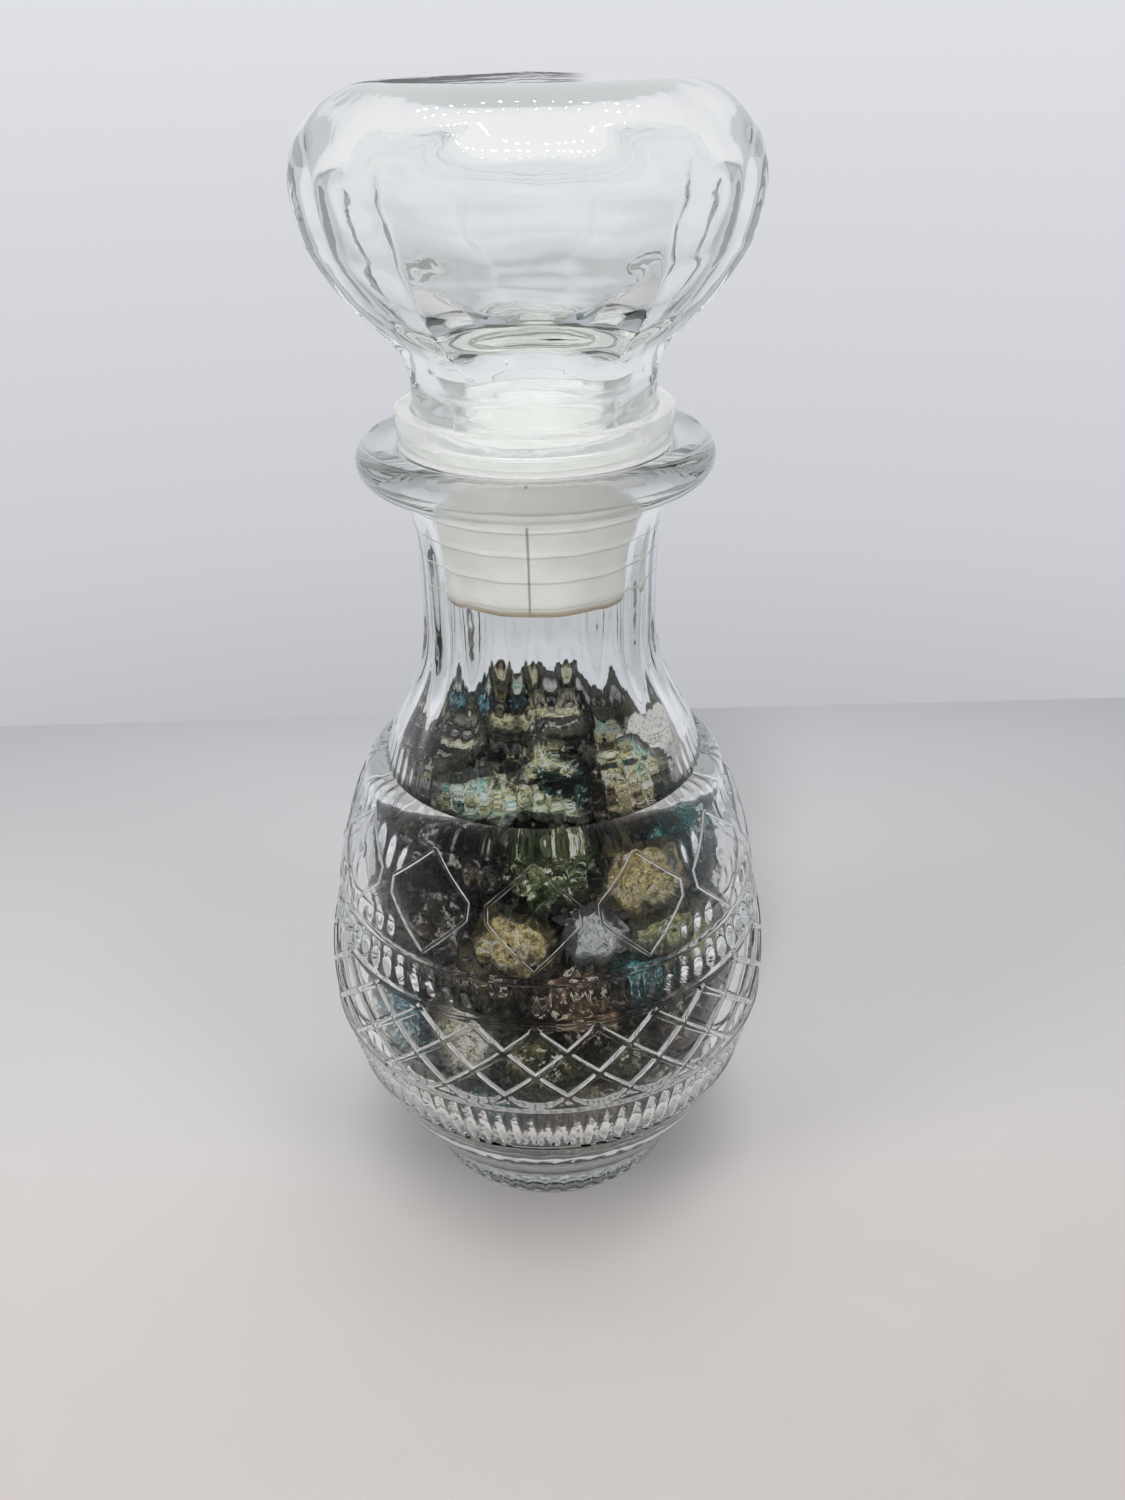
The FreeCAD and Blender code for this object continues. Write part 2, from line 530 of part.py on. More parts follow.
def make_knob():
    """The glass knob: hollow, open at its foot, with six flat panels between rounded pillars."""
    body = doc.addObject("PartDesign::Body", "stopper_knob")
    turn_radius = "(knob_foot_radius + waist_sweep * (1 - cos(waist_turn)))"
    turn_height = f"({KNOB_WAIST} + waist_sweep * sin(waist_turn))"
    outside = outline(new_sketch(body, "knob_outline"), [
        ("0", KNOB_SEAT, "line"),
        ("knob_foot_radius", KNOB_SEAT, "line"),
        ("knob_foot_radius", KNOB_WAIST, "level_start"),
        (turn_radius, turn_height, "level_end"),
        ("knob_radius", KNOB_CENTRE, "level_start"),
        ("knob_top_radius", f"{KNOB_SEAT} + knob_height - knob_crown", "line"),
        ("0", f"{KNOB_SEAT} + knob_height", "line"),
    ])
    turned(body, "Revolution", outside)
    hollow = outline(new_sketch(body, "hollow_outline"), [
        ("0", f"{KNOB_SEAT} - wall", "line"),
        ("throat_radius", f"{KNOB_SEAT} - wall", "line"),
        ("throat_radius", f"{KNOB_SEAT} + throat_length", "level_start"),
        ("throat_radius + throat_flare", f"{KNOB_SEAT} + throat_length + throat_sweep",
         "level_end"),
        (f"{PANEL_RADIUS} - knob_wall", KNOB_CENTRE, "level_start"),
        ("hollow_top_radius", f"{KNOB_SEAT} + knob_height - knob_crown - knob_roof", "line"),
        ("0", f"{KNOB_SEAT} + knob_height - knob_roof", "line"),
    ])
    turned(body, "Groove", hollow)
    cut_panels(body, turn_radius, turn_height)
    return body


def cut_panels(body, turn_radius, turn_height):
    """Six flat panels that follow the knob's side and fade out at its waist."""
    panel_top = f"{KNOB_SEAT} + knob_height + wall"
    panel = outline(new_sketch(body, "panel_outline", turn="panel_phase"), [
        ("knob_foot_radius", KNOB_WAIST, "right", "panel_sweep"),
        (f"{turn_radius} * cos(panel_half_angle)", turn_height, "level_end"),
        (PANEL_RADIUS, KNOB_CENTRE, "line"),
        (PANEL_RADIUS, panel_top, "line"),
        ("knob_radius + wall", panel_top, "line"),
        ("knob_radius + wall", KNOB_WAIST, "line"),
    ])
    pocket = body.newObject("PartDesign::Pocket", "panel")
    pocket.Profile = panel
    pocket.Midplane = True
    pocket.Length = 2 * size("knob_radius")
    pocket.setExpression("Length", "2 * sizes.knob_radius")
    doc.recompute()
    round_pattern(body, pocket, "panel_count")


def scatter(number, salt):
    """A repeatable value from -1 to 1 for a stone's number."""
    wave = math.sin(number * 12.9898 + salt * 78.233) * 43758.5453
    return 2 * (wave - math.floor(wave)) - 1


def wall_profile(cavity):
    """The inside of the glass as (radius, height) points, from the floor's middle to the lip."""
    edges = [edge for edge in cavity.Shape.Edges if edge.BoundBox.XMax > TINY]
    corners = []
    for edge in edges[:-1]:
        points = [(point.x, point.z) for point in edge.discretize(WALL_SAMPLES)]
        if corners and math.dist(points[0], corners[-1]) > math.dist(points[-1], corners[-1]):
            points.reverse()
        corners.extend(points if not corners else points[1:])
    return corners


def nearest_wall(walls, point):
    """The gap from a point to the glass, and the glass's outward direction and foot there."""
    radius = math.hypot(point.x, point.y)
    best = None
    for (r0, z0), (r1, z1) in walls:
        run, rise = r1 - r0, z1 - z0
        share = ((radius - r0) * run + (point.z - z0) * rise) / (run ** 2 + rise ** 2)
        share = min(1, max(0, share))
        foot = (r0 + share * run, z0 + share * rise)
        away = math.dist((radius, point.z), foot)
        if best is None or away < best[0]:
            length = math.hypot(run, rise)
            best = (away, foot, (rise / length, -run / length))
    _, foot, normal = best
    gap = (foot[0] - radius) * normal[0] + (foot[1] - point.z) * normal[1]
    east, north = (point.x / radius, point.y / radius) if radius > TINY else (1, 0)
    outward = Vector(normal[0] * east, normal[0] * north, normal[1])
    return gap, outward, Vector(foot[0] * east, foot[0] * north, foot[1])


def inner_radius(profile, height):
    """The radius of the cavity at a height above its floor."""
    for (r0, z0), (r1, z1) in zip(profile, profile[1:]):
        if z0 <= height <= z1 and z1 > z0:
            return r0 + (r1 - r0) * (height - z0) / (z1 - z0)
    return size("bore_radius")


def rough_block(centre, reach, turn):
    """The six faces of a turned cube, each a loop of points."""
    loops = []
    for axis in range(3):
        for side in (-1, 1):
            ring = ((-1, -1), (1, -1), (1, 1), (-1, 1))
            loop = []
            for across, along in ring if side > 0 else reversed(ring):
                spot = [0, 0, 0]
                spot[axis] = side
                spot[(axis + 1) % 3] = across
                spot[(axis + 2) % 3] = along
                loop.append(centre + turn.multVec(Vector(*spot) * reach))
            loops.append(loop)
    return loops


def corners_of(faces):
    """Every corner of a stone, once."""
    corners = {(round(point.x, 4), round(point.y, 4), round(point.z, 4)): point
               for face in faces for point in face}
    return list(corners.values())


def cut(faces, normal, limit):
    """Cut off what lies beyond a plane; a slice too thin to matter stays on the stone."""
    if max(point.dot(normal) for point in corners_of(faces)) < limit + size("trim_step"):
        return faces
    kept, rim = [], []
    for face in faces:
        loop = []
        for here, there in zip(face, face[1:] + face[:1]):
            side, other = here.dot(normal) - limit, there.dot(normal) - limit
            if side <= 0:
                loop.append(here)
            if side * other < 0:
                crossing = here + (there - here) * (side / (side - other))
                loop.append(crossing)
                rim.append(crossing)
        if len(loop) > 2:
            kept.append(loop)
    return kept + [cap(rim, normal)]


def cap(rim, normal):
    """Close a cut with a face whose points run round its middle."""
    middle = sum(rim, Vector()) / len(rim)
    across = (rim[0] - middle).normalize()
    along = normal.cross(across)
    around = sorted(rim, key=lambda point: math.atan2((point - middle).dot(along),
                                                      (point - middle).dot(across)))
    loop = []
    for point in around:
        if not loop or point.distanceToPoint(loop[-1]) > 1e-6:
            loop.append(point)
    if loop[0].distanceToPoint(loop[-1]) < 1e-6:
        loop.pop()
    return loop


def stone_places(profile):
    """The middle, weight, mineral and course of every stone."""
    places = []
    first = worked_out("base_thickness + first_course_rise")
    spacing = (worked_out(f"{SHOULDER} - fill_margin") - first) / (len(COURSES) - 1)
    for course, (ring, core, turn) in enumerate(COURSES):
        height = first + course * spacing
        outer = inner_radius(profile, height) - size("stone_inset")
        rows = ((ring.split(), outer, turn), (core.split(), outer * size("core_share"), turn + 25))
        for minerals, radius, start in rows:
            if len(minerals) == 1:
                radius = 0
            for place, mineral in enumerate(minerals):
                number = len(places)
                shift = [size("stone_spread") * scatter(number, salt) for salt in (1, 2, 3)]
                angle = math.radians(start + 360 * place / len(minerals))
                away = radius + shift[0] * 0.7
                middle = Vector(away * math.sin(angle), -away * math.cos(angle), height + shift[1])
                middle += Vector(math.cos(angle), math.sin(angle), 0) * shift[2]
                weight = size("stone_weight") * (1 + 0.3 * scatter(number, 4))
                places.append((middle, weight, mineral, course))
    return places


def carve(number, places, profile):
    """One stone: its share of the heap, chipped at its corners and kept off the glass."""
    middle, weight = places[number][:2]
    turn = Rotation(*[180 * scatter(number, salt) for salt in (5, 6, 7)])
    faces = rough_block(middle, size("stone_reach"), turn)
    for other, (away, other_weight, *_) in enumerate(places):
        span = (away - middle).Length
        if other != number and span < 4 * size("stone_reach"):
            direction = (away - middle) / span
            share = span / 2 + (weight ** 2 - other_weight ** 2) / (2 * span)
            limit = middle.dot(direction) + share - size("stone_gap") / 2
            faces = cut(faces, direction, limit)
    for chop in range(CHOPS):
        rise = scatter(number, 10 + chop)
        turn = math.pi * scatter(number, 20 + chop)
        level = math.sqrt(1 - rise ** 2)
        direction = Vector(level * math.cos(turn), level * math.sin(turn), rise)
        reach = max((point - middle).dot(direction) for point in corners_of(faces))
        share = CHOP_SHARE + CHOP_SPREAD * scatter(number, 30 + chop)
        faces = cut(faces, direction, middle.dot(direction) + reach * share)
    crown = Vector(scatter(number, 8) / 3, scatter(number, 9) / 3, 1).normalize()
    top = Vector(middle.x, middle.y, worked_out(f"{LEDGE} + heap_rise"))
    faces = cut(faces, crown, top.dot(crown))
    return clear_of_glass(faces, middle, profile)


def clear_of_glass(faces, middle, profile):
    """Trim a stone with flat faces towards the glass until each of its corners is clear of it."""
    gap, near = size("glass_gap"), 3 * size("stone_reach")
    walls = [pair for pair in zip(profile, profile[1:])
             if min(abs(pair[0][1] - middle.z), abs(pair[1][1] - middle.z)) < near]
    for _ in range(TRIMS):
        found = [(nearest_wall(walls, corner), corner) for corner in corners_of(faces)]
        (tightest, outward, _), corner = min(found, key=lambda item: item[0][0])
        if tightest > gap - size("trim_step"):
            break
        direction = towards_glass(outward, middle)
        depth = (gap - tightest) / max(direction.dot(outward), 0.5)
        faces = cut(faces, direction, corner.dot(direction) - depth - size("trim_step"))
    return faces


def towards_glass(outward, middle):
    """A direction from a stone's middle to the glass, sloped in whole steps like the wall."""
    steps = round(math.degrees(math.asin(max(-1, min(1, outward.z)))) / SLOPE_STEP)
    slope = math.radians(steps * SLOPE_STEP)
    turn = math.atan2(middle.y, middle.x)
    level = math.cos(slope)
    return Vector(level * math.cos(turn), level * math.sin(turn), math.sin(slope))


def solid_of(faces, origin):
    """A closed solid from flat faces, moved so that its own origin is at the point given."""
    sheets = [Part.Face(Part.makePolygon([point - origin for point in face + face[:1]]))
              for face in faces]
    return Part.makeSolid(Part.makeShell(sheets))


def make_stones(cavity):
    """The stones, those of one mineral in one course together in one object."""
    profile = wall_profile(cavity)
    places = stone_places(profile)
    groups = {}
    for number, (middle, _, mineral, course) in enumerate(places):
        groups.setdefault((course, mineral), []).append((middle, carve(number, places, profile)))
    stones = []
    for (course, mineral), members in sorted(groups.items()):
        origin = members[0][0]
        solids = [solid_of(faces, origin) for _, faces in members]
        stone = doc.addObject("Part::Feature", f"{mineral}_course_{course + 1}")
        stone.Shape = solids[0] if len(solids) == 1 else Part.makeCompound(solids)
        stone.Placement = Placement(origin, Rotation())
        stones.append(stone)
    return stones


def check(objects):
    """Stop if any feature failed or any piece is not a sound, closed shape."""
    for item in doc.Objects:
        if "Invalid" in item.State or "Error" in item.State:
            raise RuntimeError(f"{item.Label} failed: {item.State}")
    for item in objects:
        shape = item.Shape
        if shape.isNull() or not shape.isValid() or shape.Volume <= 0:
            raise RuntimeError(f"{item.Label} has no sound shape")


def main():
    fill_sheet()
    glass, cavity = make_glass()
    doc.recompute()
    sleeve = make_sleeve()
    knob = make_knob()
    doc.recompute()
    pieces = [glass, sleeve, knob] + make_stones(cavity)
    doc.recompute()
    check(pieces)
    os.makedirs("parts", exist_ok=True)
    for piece in pieces:
        piece.Shape.exportStep(f"parts/{piece.Label}.step")
        solids = len(piece.Shape.Solids)
        print(f"{piece.Label}: {solids} solid(s), {piece.Shape.Volume / 1000:.1f} cm3")


main()
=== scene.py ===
# %% [markdown]
# # A stoppered glass decanter filled with broken minerals
# The real object is a pressed glass decanter with a hollow glass knob, a milky plastic sleeve
# that seals the knob in the neck, and a heap of rough stones inside. Its solids are already
# made to size, so this lesson loads them first and builds every visible piece in their place.
# The outlines and the pattern are written in millimetres, and all other sizes in metres.

# %% Load the solids
import math

import bpy
import numpy as np
from mathutils import Matrix


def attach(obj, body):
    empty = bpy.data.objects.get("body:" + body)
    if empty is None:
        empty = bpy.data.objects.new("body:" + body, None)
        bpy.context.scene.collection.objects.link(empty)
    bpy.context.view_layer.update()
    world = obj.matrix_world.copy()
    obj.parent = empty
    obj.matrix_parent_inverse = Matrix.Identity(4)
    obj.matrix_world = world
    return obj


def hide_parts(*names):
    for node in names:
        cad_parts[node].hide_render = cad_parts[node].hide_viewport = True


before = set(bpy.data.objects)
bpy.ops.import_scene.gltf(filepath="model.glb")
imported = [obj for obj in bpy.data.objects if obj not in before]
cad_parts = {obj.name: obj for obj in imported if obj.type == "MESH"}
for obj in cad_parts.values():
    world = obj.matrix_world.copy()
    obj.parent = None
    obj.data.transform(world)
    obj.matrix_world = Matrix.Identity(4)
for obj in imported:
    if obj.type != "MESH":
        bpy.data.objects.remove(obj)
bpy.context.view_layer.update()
bpy.ops.object.select_all(action="DESELECT")
MM, WELD = 0.001, 1e-6

# %% [markdown]
# ## Where the camera stands
# The camera is about 29 cm from the foot and well above it, with a wide lens, so the knob looks
# large and the foot small. A camera looks along its own minus Z, with its own Y up, so its axes
# are worked out from the turn, the downward tilt and a slight roll.

# %% Make the camera
CAMERA_PLACE = (0.0, -0.206, 0.2105)
CAMERA_TURN, CAMERA_TILT, CAMERA_ROLL = 1.0, 30.04, -0.98


def camera_axes(turn, tilt, roll):
    """The right, up and back directions of a camera turned, tilted and rolled in degrees."""
    turn, tilt, roll = (math.radians(angle) for angle in (turn, tilt, roll))
    ahead = np.array([math.sin(turn) * math.cos(tilt), math.cos(turn) * math.cos(tilt),
                      -math.sin(tilt)])
    right = np.array([math.cos(turn), -math.sin(turn), 0])
    up = np.cross(right, ahead)
    return (math.cos(roll) * right + math.sin(roll) * up,
            -math.sin(roll) * right + math.cos(roll) * up, -ahead)


bpy.ops.object.camera_add(location=CAMERA_PLACE)
camera = bpy.context.object
camera.name = "studio_camera"
camera.data.lens = 30.0
camera.data.sensor_width = 36.0
camera.data.clip_start, camera.data.clip_end = 0.01, 20
axes = camera_axes(CAMERA_TURN, CAMERA_TILT, CAMERA_ROLL)
camera.matrix_world = Matrix([(*(axis[row] for axis in axes), CAMERA_PLACE[row])
                              for row in range(3)]).to_4x4()
bpy.context.scene.camera = camera
bpy.context.scene.view_settings.view_transform = "Standard"
print("camera at", CAMERA_PLACE, "tilted down by", CAMERA_TILT, "degrees")

# %% [markdown]
# ## A helper for materials
# A procedural material is a small graph of nodes. Adding each node by hand in code takes many
# lines, so one helper adds a node, gives it its settings, and fills or links its inputs. The
# others add the few kinds of node that come up again and again.

# %% Helpers for nodes


def place(tree, kind, inputs=(), **settings):
    """Add a shader node with its settings; an input is given a value, or a socket to link."""
    made = tree.nodes.new("ShaderNode" + kind)
    for name, value in settings.items():
        setattr(made, name, value)
    for name, value in dict(inputs).items():
        if isinstance(value, bpy.types.NodeSocket):
            tree.links.new(value, made.inputs[name])
        else:
            made.inputs[name].default_value = value
    return made


def ramp(tree, factor, *stops):
    """A colour ramp whose stops are (place, colour or grey)."""
    made = place(tree, "ValToRGB", {"Fac": factor})
    elements = made.color_ramp.elements
    while len(elements) < len(stops):
        elements.new(0.5)
    for element, (where, colour) in zip(elements, stops):
        element.position = where
        element.color = (*colour, 1) if isinstance(colour, tuple) else (colour,) * 3 + (1,)
    return made.outputs["Color"]


def blend(tree, share, one, other, mode="MIX"):
    """Mix two colours by a share."""
    made = place(tree, "Mix", {0: share, 6: one, 7: other}, data_type="RGBA", blend_type=mode)
    return made.outputs[2]


def sums(tree, operation, one, other=0.0):
    """One arithmetic node."""
    return place(tree, "Math", {0: one, 1: other}, operation=operation).outputs[0]


def remap(tree, value, start, end, low=0.0, high=1.0, kind="LINEAR"):
    """A change from low to high while a value goes from start to end."""
    return place(tree, "MapRange", {"Value": value, 1: start, 2: end, 3: low, 4: high},
                 interpolation_type=kind).outputs[0]


def noise(tree, where, scale, detail, roughness=0.5):
    """Cloudy noise."""
    return place(tree, "TexNoise", {"Vector": where, "Scale": scale, "Detail": detail,
                                    "Roughness": roughness}).outputs["Fac"]


def new_material(name):
    """An empty material with its node tree and its output node."""
    material = bpy.data.materials.new(name)
    material.use_nodes = True
    material.node_tree.nodes.clear()
    return material, material.node_tree, place(material.node_tree, "OutputMaterial")


def is_trapped(tree, ray):
    """1 for light that was thrown back more than twice inside a wall."""
    return sums(tree, "GREATER_THAN", ray["Glossy Depth"], 2.5)


def close_clear(tree, output, shader, passing, tint):
    """Let passing light through with only a tint, and show all other light the shader."""
    see_through = place(tree, "BsdfTransparent", {"Color": tint})
    both = place(tree, "MixShader", {0: passing, 1: shader.outputs[0], 2: see_through.outputs[0]})
    tree.links.new(both.outputs[0], output.inputs["Surface"])


print("node helpers ready")

# %% [markdown]
# ## The light tent
# Clear glass shows nothing of itself, only what is round it, so the surroundings matter as much
# as the glass. A white tent round the object gives soft light from everywhere, and its open front,
# darker than its walls, is what draws the dark lines along the edges of the glass. The world
# background plays the tent: a gradient by height, with one dark opening in front and one dark
# beam behind. Both show only through glass and in gloss: where the camera looks straight at
# them, it sees plain walls.

# %% Light from all round
world = bpy.data.worlds.new("light_tent")
bpy.context.scene.world = world
world.use_nodes = True
tent = world.node_tree
tent.nodes.clear()
direction = place(tent, "SeparateXYZ", {0: place(tent, "TexCoord").outputs["Generated"]})
east, north, height = direction.outputs
walls = ramp(tent, remap(tent, height, -1.0, 1.0),
             (0.0, (0.52, 0.51, 0.50)), (0.26, (0.50, 0.51, 0.53)), (0.33, (0.60, 0.61, 0.65)),
             (0.44, (0.68, 0.69, 0.73)), (0.52, (0.75, 0.76, 0.79)), (1.0, (0.88, 0.88, 0.88)))
front = remap(tent, north, -0.25, -0.80, 1.0, 0.66, kind="SMOOTHSTEP")
front_grey = place(tent, "CombineColor", {0: front, 1: front, 2: front}).outputs[0]
walls = blend(tent, 1.0, walls, front_grey, "MULTIPLY")


def soft_patch(*edges):
    """A patch of the tent, bounded by edges that each fade in from one place to another."""
    inside = 1.0
    for way, start, end in edges:
        edge = remap(tent, way, start, end, kind="SMOOTHSTEP")
        inside = sums(tent, "MULTIPLY", inside, edge)
    return inside


opening = soft_patch((height, -0.08, 0.06), (height, 0.44, 0.30), (east, -0.34, -0.26),
                     (east, 0.02, -0.06), (north, -0.50, -0.60))
beam = soft_patch((height, 0.022, 0.034), (height, 0.105, 0.085), (east, -0.16, -0.12),
                  (east, 0.05, 0.02), (north, 0.85, 0.90))
ray = place(tent, "LightPath").outputs
first = sums(tent, "LESS_THAN", ray["Transmission Depth"], 0.5)
dark = sums(tent, "MAXIMUM", opening, sums(tent, "MULTIPLY", beam, first))
dark = sums(tent, "MULTIPLY", dark, sums(tent, "SUBTRACT", 1.0, ray["Is Camera Ray"]))
surroundings = blend(tent, dark, walls, (0.06, 0.06, 0.065, 1))
surroundings = blend(tent, ray["Is Diffuse Ray"], surroundings, (0.26, 0.26, 0.27, 1))
background = place(tent, "Background", {"Color": surroundings, "Strength": 1.0})
tent.links.new(background.outputs[0], place(tent, "OutputWorld").inputs["Surface"])
print("light tent made with", len(tent.nodes), "nodes")

# %% [markdown]
# Two kinds of lamp hang in the tent. Four broad ones light the stones and give the floor its
# soft shadow, and two rows of small ones become strings of bright dots in the glass. The broad
# ones are hidden from the glass, because a bright square in it would give them away.

# %% Lamps


def hang_lamp(name, place_at, size, power, aim=(0, 0, 0.08)):
    """A square area lamp that looks at a point on the object."""
    bpy.ops.object.light_add(type="AREA", location=place_at)
    lamp = bpy.context.object
    lamp.name = name
    lamp.data.size = size
    lamp.data.energy = power
    away = np.array(place_at) - np.array(aim)
    lamp.rotation_euler = (math.acos(away[2] / np.linalg.norm(away)), 0,
                           math.atan2(away[1], away[0]) + math.pi / 2)
    return lamp


for name, place_at, size, power in (("soft_ceiling", (0.06, 0.12, 0.62), 0.30, 0.7),
                                    ("soft_front", (-0.10, -0.50, 0.36), 0.12, 2.8),
                                    ("soft_left", (-0.42, -0.22, 0.42), 0.16, 0.9),
                                    ("soft_right", (0.36, -0.30, 0.46), 0.16, 0.7)):
    lamp = hang_lamp(name, place_at, size, power)
    lamp.visible_glossy = lamp.visible_transmission = False
DOT_ROWS, DOT_HEIGHT = (0.06, 0.13), 0.50
DOTS, DOT_PITCH, DOT_SIZE, DOT_POWER = 16, 0.020, 0.0045, 0.010
for row, row_north in enumerate(DOT_ROWS):
    for number in range(DOTS):
        dot_east = (number - (DOTS - 1) / 2) * DOT_PITCH
        hang_lamp(f"dot_lamp_{row}_{number}", (dot_east, row_north, DOT_HEIGHT), DOT_SIZE,
                  DOT_POWER)
print(len(bpy.data.lights), "lamps hung")

# %% [markdown]
# ## The floor
# The decanter stands on a sheet of pale, slightly warm paper. A plane would do, and it is kept
# as plain as the real sheet, with only a faint mottle, so that it takes the soft shadow. Painted
# shadow darkens its colour close to the foot, and painted shade darkens it a little towards the
# front and the back.

# %% Lay the floor
FLOOR_SIZE, FLOOR_BACK = (0.66, 0.62), 0.185
FOOT_EDGE, SHADE_END = 0.022, 0.048
bpy.ops.mesh.primitive_plane_add(size=1, location=(0, FLOOR_BACK - FLOOR_SIZE[1] / 2, 0))
floor = bpy.context.object
floor.name = "paper_floor"
floor.scale = (*FLOOR_SIZE, 1)
bpy.ops.object.transform_apply(location=True, rotation=True, scale=True)
paper, tree, output = new_material("pale_paper")
where = place(tree, "TexCoord").outputs["Object"]
spots = noise(tree, where, 60.0, 6.0)
# Painted shade: the paper's colour is darker towards the front and a little towards the back.
depth = remap(tree, place(tree, "SeparateXYZ", {0: where}).outputs[1], -0.12, FLOOR_BACK)
sheet = ramp(tree, depth, (0.0, (0.43, 0.40, 0.38)), (0.15, (0.475, 0.445, 0.43)),
             (0.35, (0.535, 0.52, 0.51)), (0.70, (0.56, 0.56, 0.57)),
             (0.90, (0.55, 0.555, 0.57)), (1.0, (0.52, 0.53, 0.55)))
# Painted shadow: the paper's colour is darkened round the foot, fading out away from it.
from_foot = place(tree, "VectorMath", {0: where}, operation="LENGTH").outputs[1]
shade = remap(tree, from_foot, FOOT_EDGE, SHADE_END, 0.62, 1.0, kind="SMOOTHSTEP")
sheet = blend(tree, 1.0, sheet, ramp(tree, shade, (0.0, 0.0), (1.0, 1.0)), "MULTIPLY")
paper_colour = blend(tree, ramp(tree, spots, (0.3, 0.0), (0.7, 0.06)), sheet,
                     (0.60, 0.58, 0.56, 1))
paper_shader = place(tree, "BsdfPrincipled", {"Base Color": paper_colour, "Roughness": 0.9})
tree.links.new(paper_shader.outputs[0], output.inputs["Surface"])
floor.data.materials.append(paper)
print("floor", FLOOR_SIZE, "m")

# %% [markdown]
# ## How glass is turned: an outline and a spin
# A glass vessel is round, so half of its outline, spun about the axis, gives inside and outside
# in one closed skin. The outline is drawn one vertex at a time: a plane is merged to a single
# vertex, and that vertex is extruded from point to point. Curved stretches are arcs, and each
# one says how many steps it is drawn in, because the pattern needs more rings where it is finest.

# %% Drawing and spinning an outline


def along(start, end, kind, steps, radius=0.0):
    """Points from start (left out) to end: a line, or an arc curving as its kind says.

    left and right put the centre on that side; level_start and level_end put it level with
    that end, so that the skin is upright there.
    """
    (x0, y0), (x1, y1) = start, end
    shares = np.arange(1, steps + 1) / steps
    if kind == "line":
        return [(x0 + (x1 - x0) * t, y0 + (y1 - y0) * t) for t in shares]
    if kind in ("left", "right"):
        chord = math.hypot(x1 - x0, y1 - y0)
        offset = math.sqrt(radius ** 2 - chord ** 2 / 4) * (1 if kind == "left" else -1)
        x = (x0 + x1) / 2 - (y1 - y0) / chord * offset
        y = (y0 + y1) / 2 + (x1 - x0) / chord * offset
    else:
        (fx, y), (ox, oy) = (start, end) if kind == "level_start" else (end, start)
        x = fx + ((ox - fx) ** 2 + (oy - y) ** 2) / (2 * (ox - fx))
    first, last = math.atan2(y0 - y, x0 - x), math.atan2(y1 - y, x1 - x)
    turn = (last - first + math.pi) % (2 * math.pi) - math.pi
    reach = math.hypot(x0 - x, y0 - y)
    return [(x + reach * math.cos(first + turn * t), y + reach * math.sin(first + turn * t))
            for t in shares]


def trace(corners):
    """All the points, in millimetres, of corners given as (radius, height, kind, steps, bend)."""
    points = [corners[0][:2]]
    for (*start, _, _, _), (*end, kind, steps, bend) in zip(corners, corners[1:]):
        points += along(start, end, kind, steps, bend)
    return points


def pick(*pieces):
    """Select only these pieces, with the first one active."""
    bpy.ops.object.select_all(action="DESELECT")
    for piece in pieces:
        piece.select_set(True)
    bpy.context.view_layer.objects.active = pieces[0]


def spin_outline(name, points, steps):
    """Draw an outline in the XZ plane and spin it round Z into a skin."""
    bpy.ops.mesh.primitive_plane_add(size=MM)
    piece = bpy.context.object
    piece.name = name
    bpy.ops.object.mode_set(mode="EDIT")
    bpy.ops.mesh.merge(type="CENTER")
    bpy.ops.transform.translate(value=(points[0][0] * MM, 0, points[0][1] * MM))
    for (x0, z0), (x1, z1) in zip(points, points[1:]):
        bpy.ops.mesh.extrude_region_move(
            TRANSFORM_OT_translate={"value": ((x1 - x0) * MM, 0, (z1 - z0) * MM)})
    bpy.ops.mesh.select_all(action="SELECT")
    bpy.ops.mesh.spin(steps=steps, angle=2 * math.pi, center=(0, 0, 0), axis=(0, 0, 1))
    bpy.ops.mesh.select_all(action="SELECT")
    bpy.ops.mesh.remove_doubles(threshold=MM / 500)
    bpy.ops.mesh.normals_make_consistent(inside=False)
    bpy.ops.object.mode_set(mode="OBJECT")
    bpy.ops.object.shade_smooth()
    print(name, len(points), "points in the outline,", len(piece.data.polygons), "faces")
    return piece


def join_skins(outer, inner, name):
    """One closed wall from an outer and an inner skin, bridged where both end, at the lip."""
    pick(inner)
    bpy.ops.object.mode_set(mode="EDIT")
    bpy.ops.mesh.select_all(action="SELECT")
    bpy.ops.mesh.flip_normals()
    bpy.ops.object.mode_set(mode="OBJECT")
    outer.vertex_groups.new(name="outside").add(range(len(outer.data.vertices)), 1.0, "REPLACE")
    pick(outer, inner)
    bpy.ops.object.join()
    outer.name = name
    bpy.ops.object.mode_set(mode="EDIT")
    bpy.ops.mesh.select_mode(type="EDGE")
    bpy.ops.mesh.select_all(action="DESELECT")
    bpy.ops.mesh.select_non_manifold(extend=False, use_wire=False, use_multi_face=False,
                                     use_non_contiguous=False, use_verts=False)
    bpy.ops.mesh.bridge_edge_loops()
    bpy.ops.mesh.select_mode(type="VERT")
    bpy.ops.mesh.select_all(action="SELECT")
    bpy.ops.mesh.normals_make_consistent(inside=False)
    bpy.ops.object.mode_set(mode="OBJECT")
    bpy.ops.object.shade_smooth()
    print(outer.name, len(outer.data.polygons), "faces in one closed wall")
    return outer


# %% [markdown]
# ## The decanter's skin
# The outline starts in the hollow under the foot, climbs the outside over four fine beads to the
# lip, turns in over the seat and comes down the inside to the middle of the floor. Rings of
# faces stand close together where the pattern will need them, and far apart elsewhere.

# %% Outline of the decanter
GLASS_COLUMNS, INNER_COLUMNS = 432, 96
BEADS, BEAD = (28.2, 41.0, 60.5, 68.4), 0.6
DIAMOND_MIDDLE, DIAMOND_TALL, DIAMOND_HALF = 80.2, 9.8, 12.4
FINE, CLOSEST_RINGS, LEDGE = 60, 0.12, 88.9
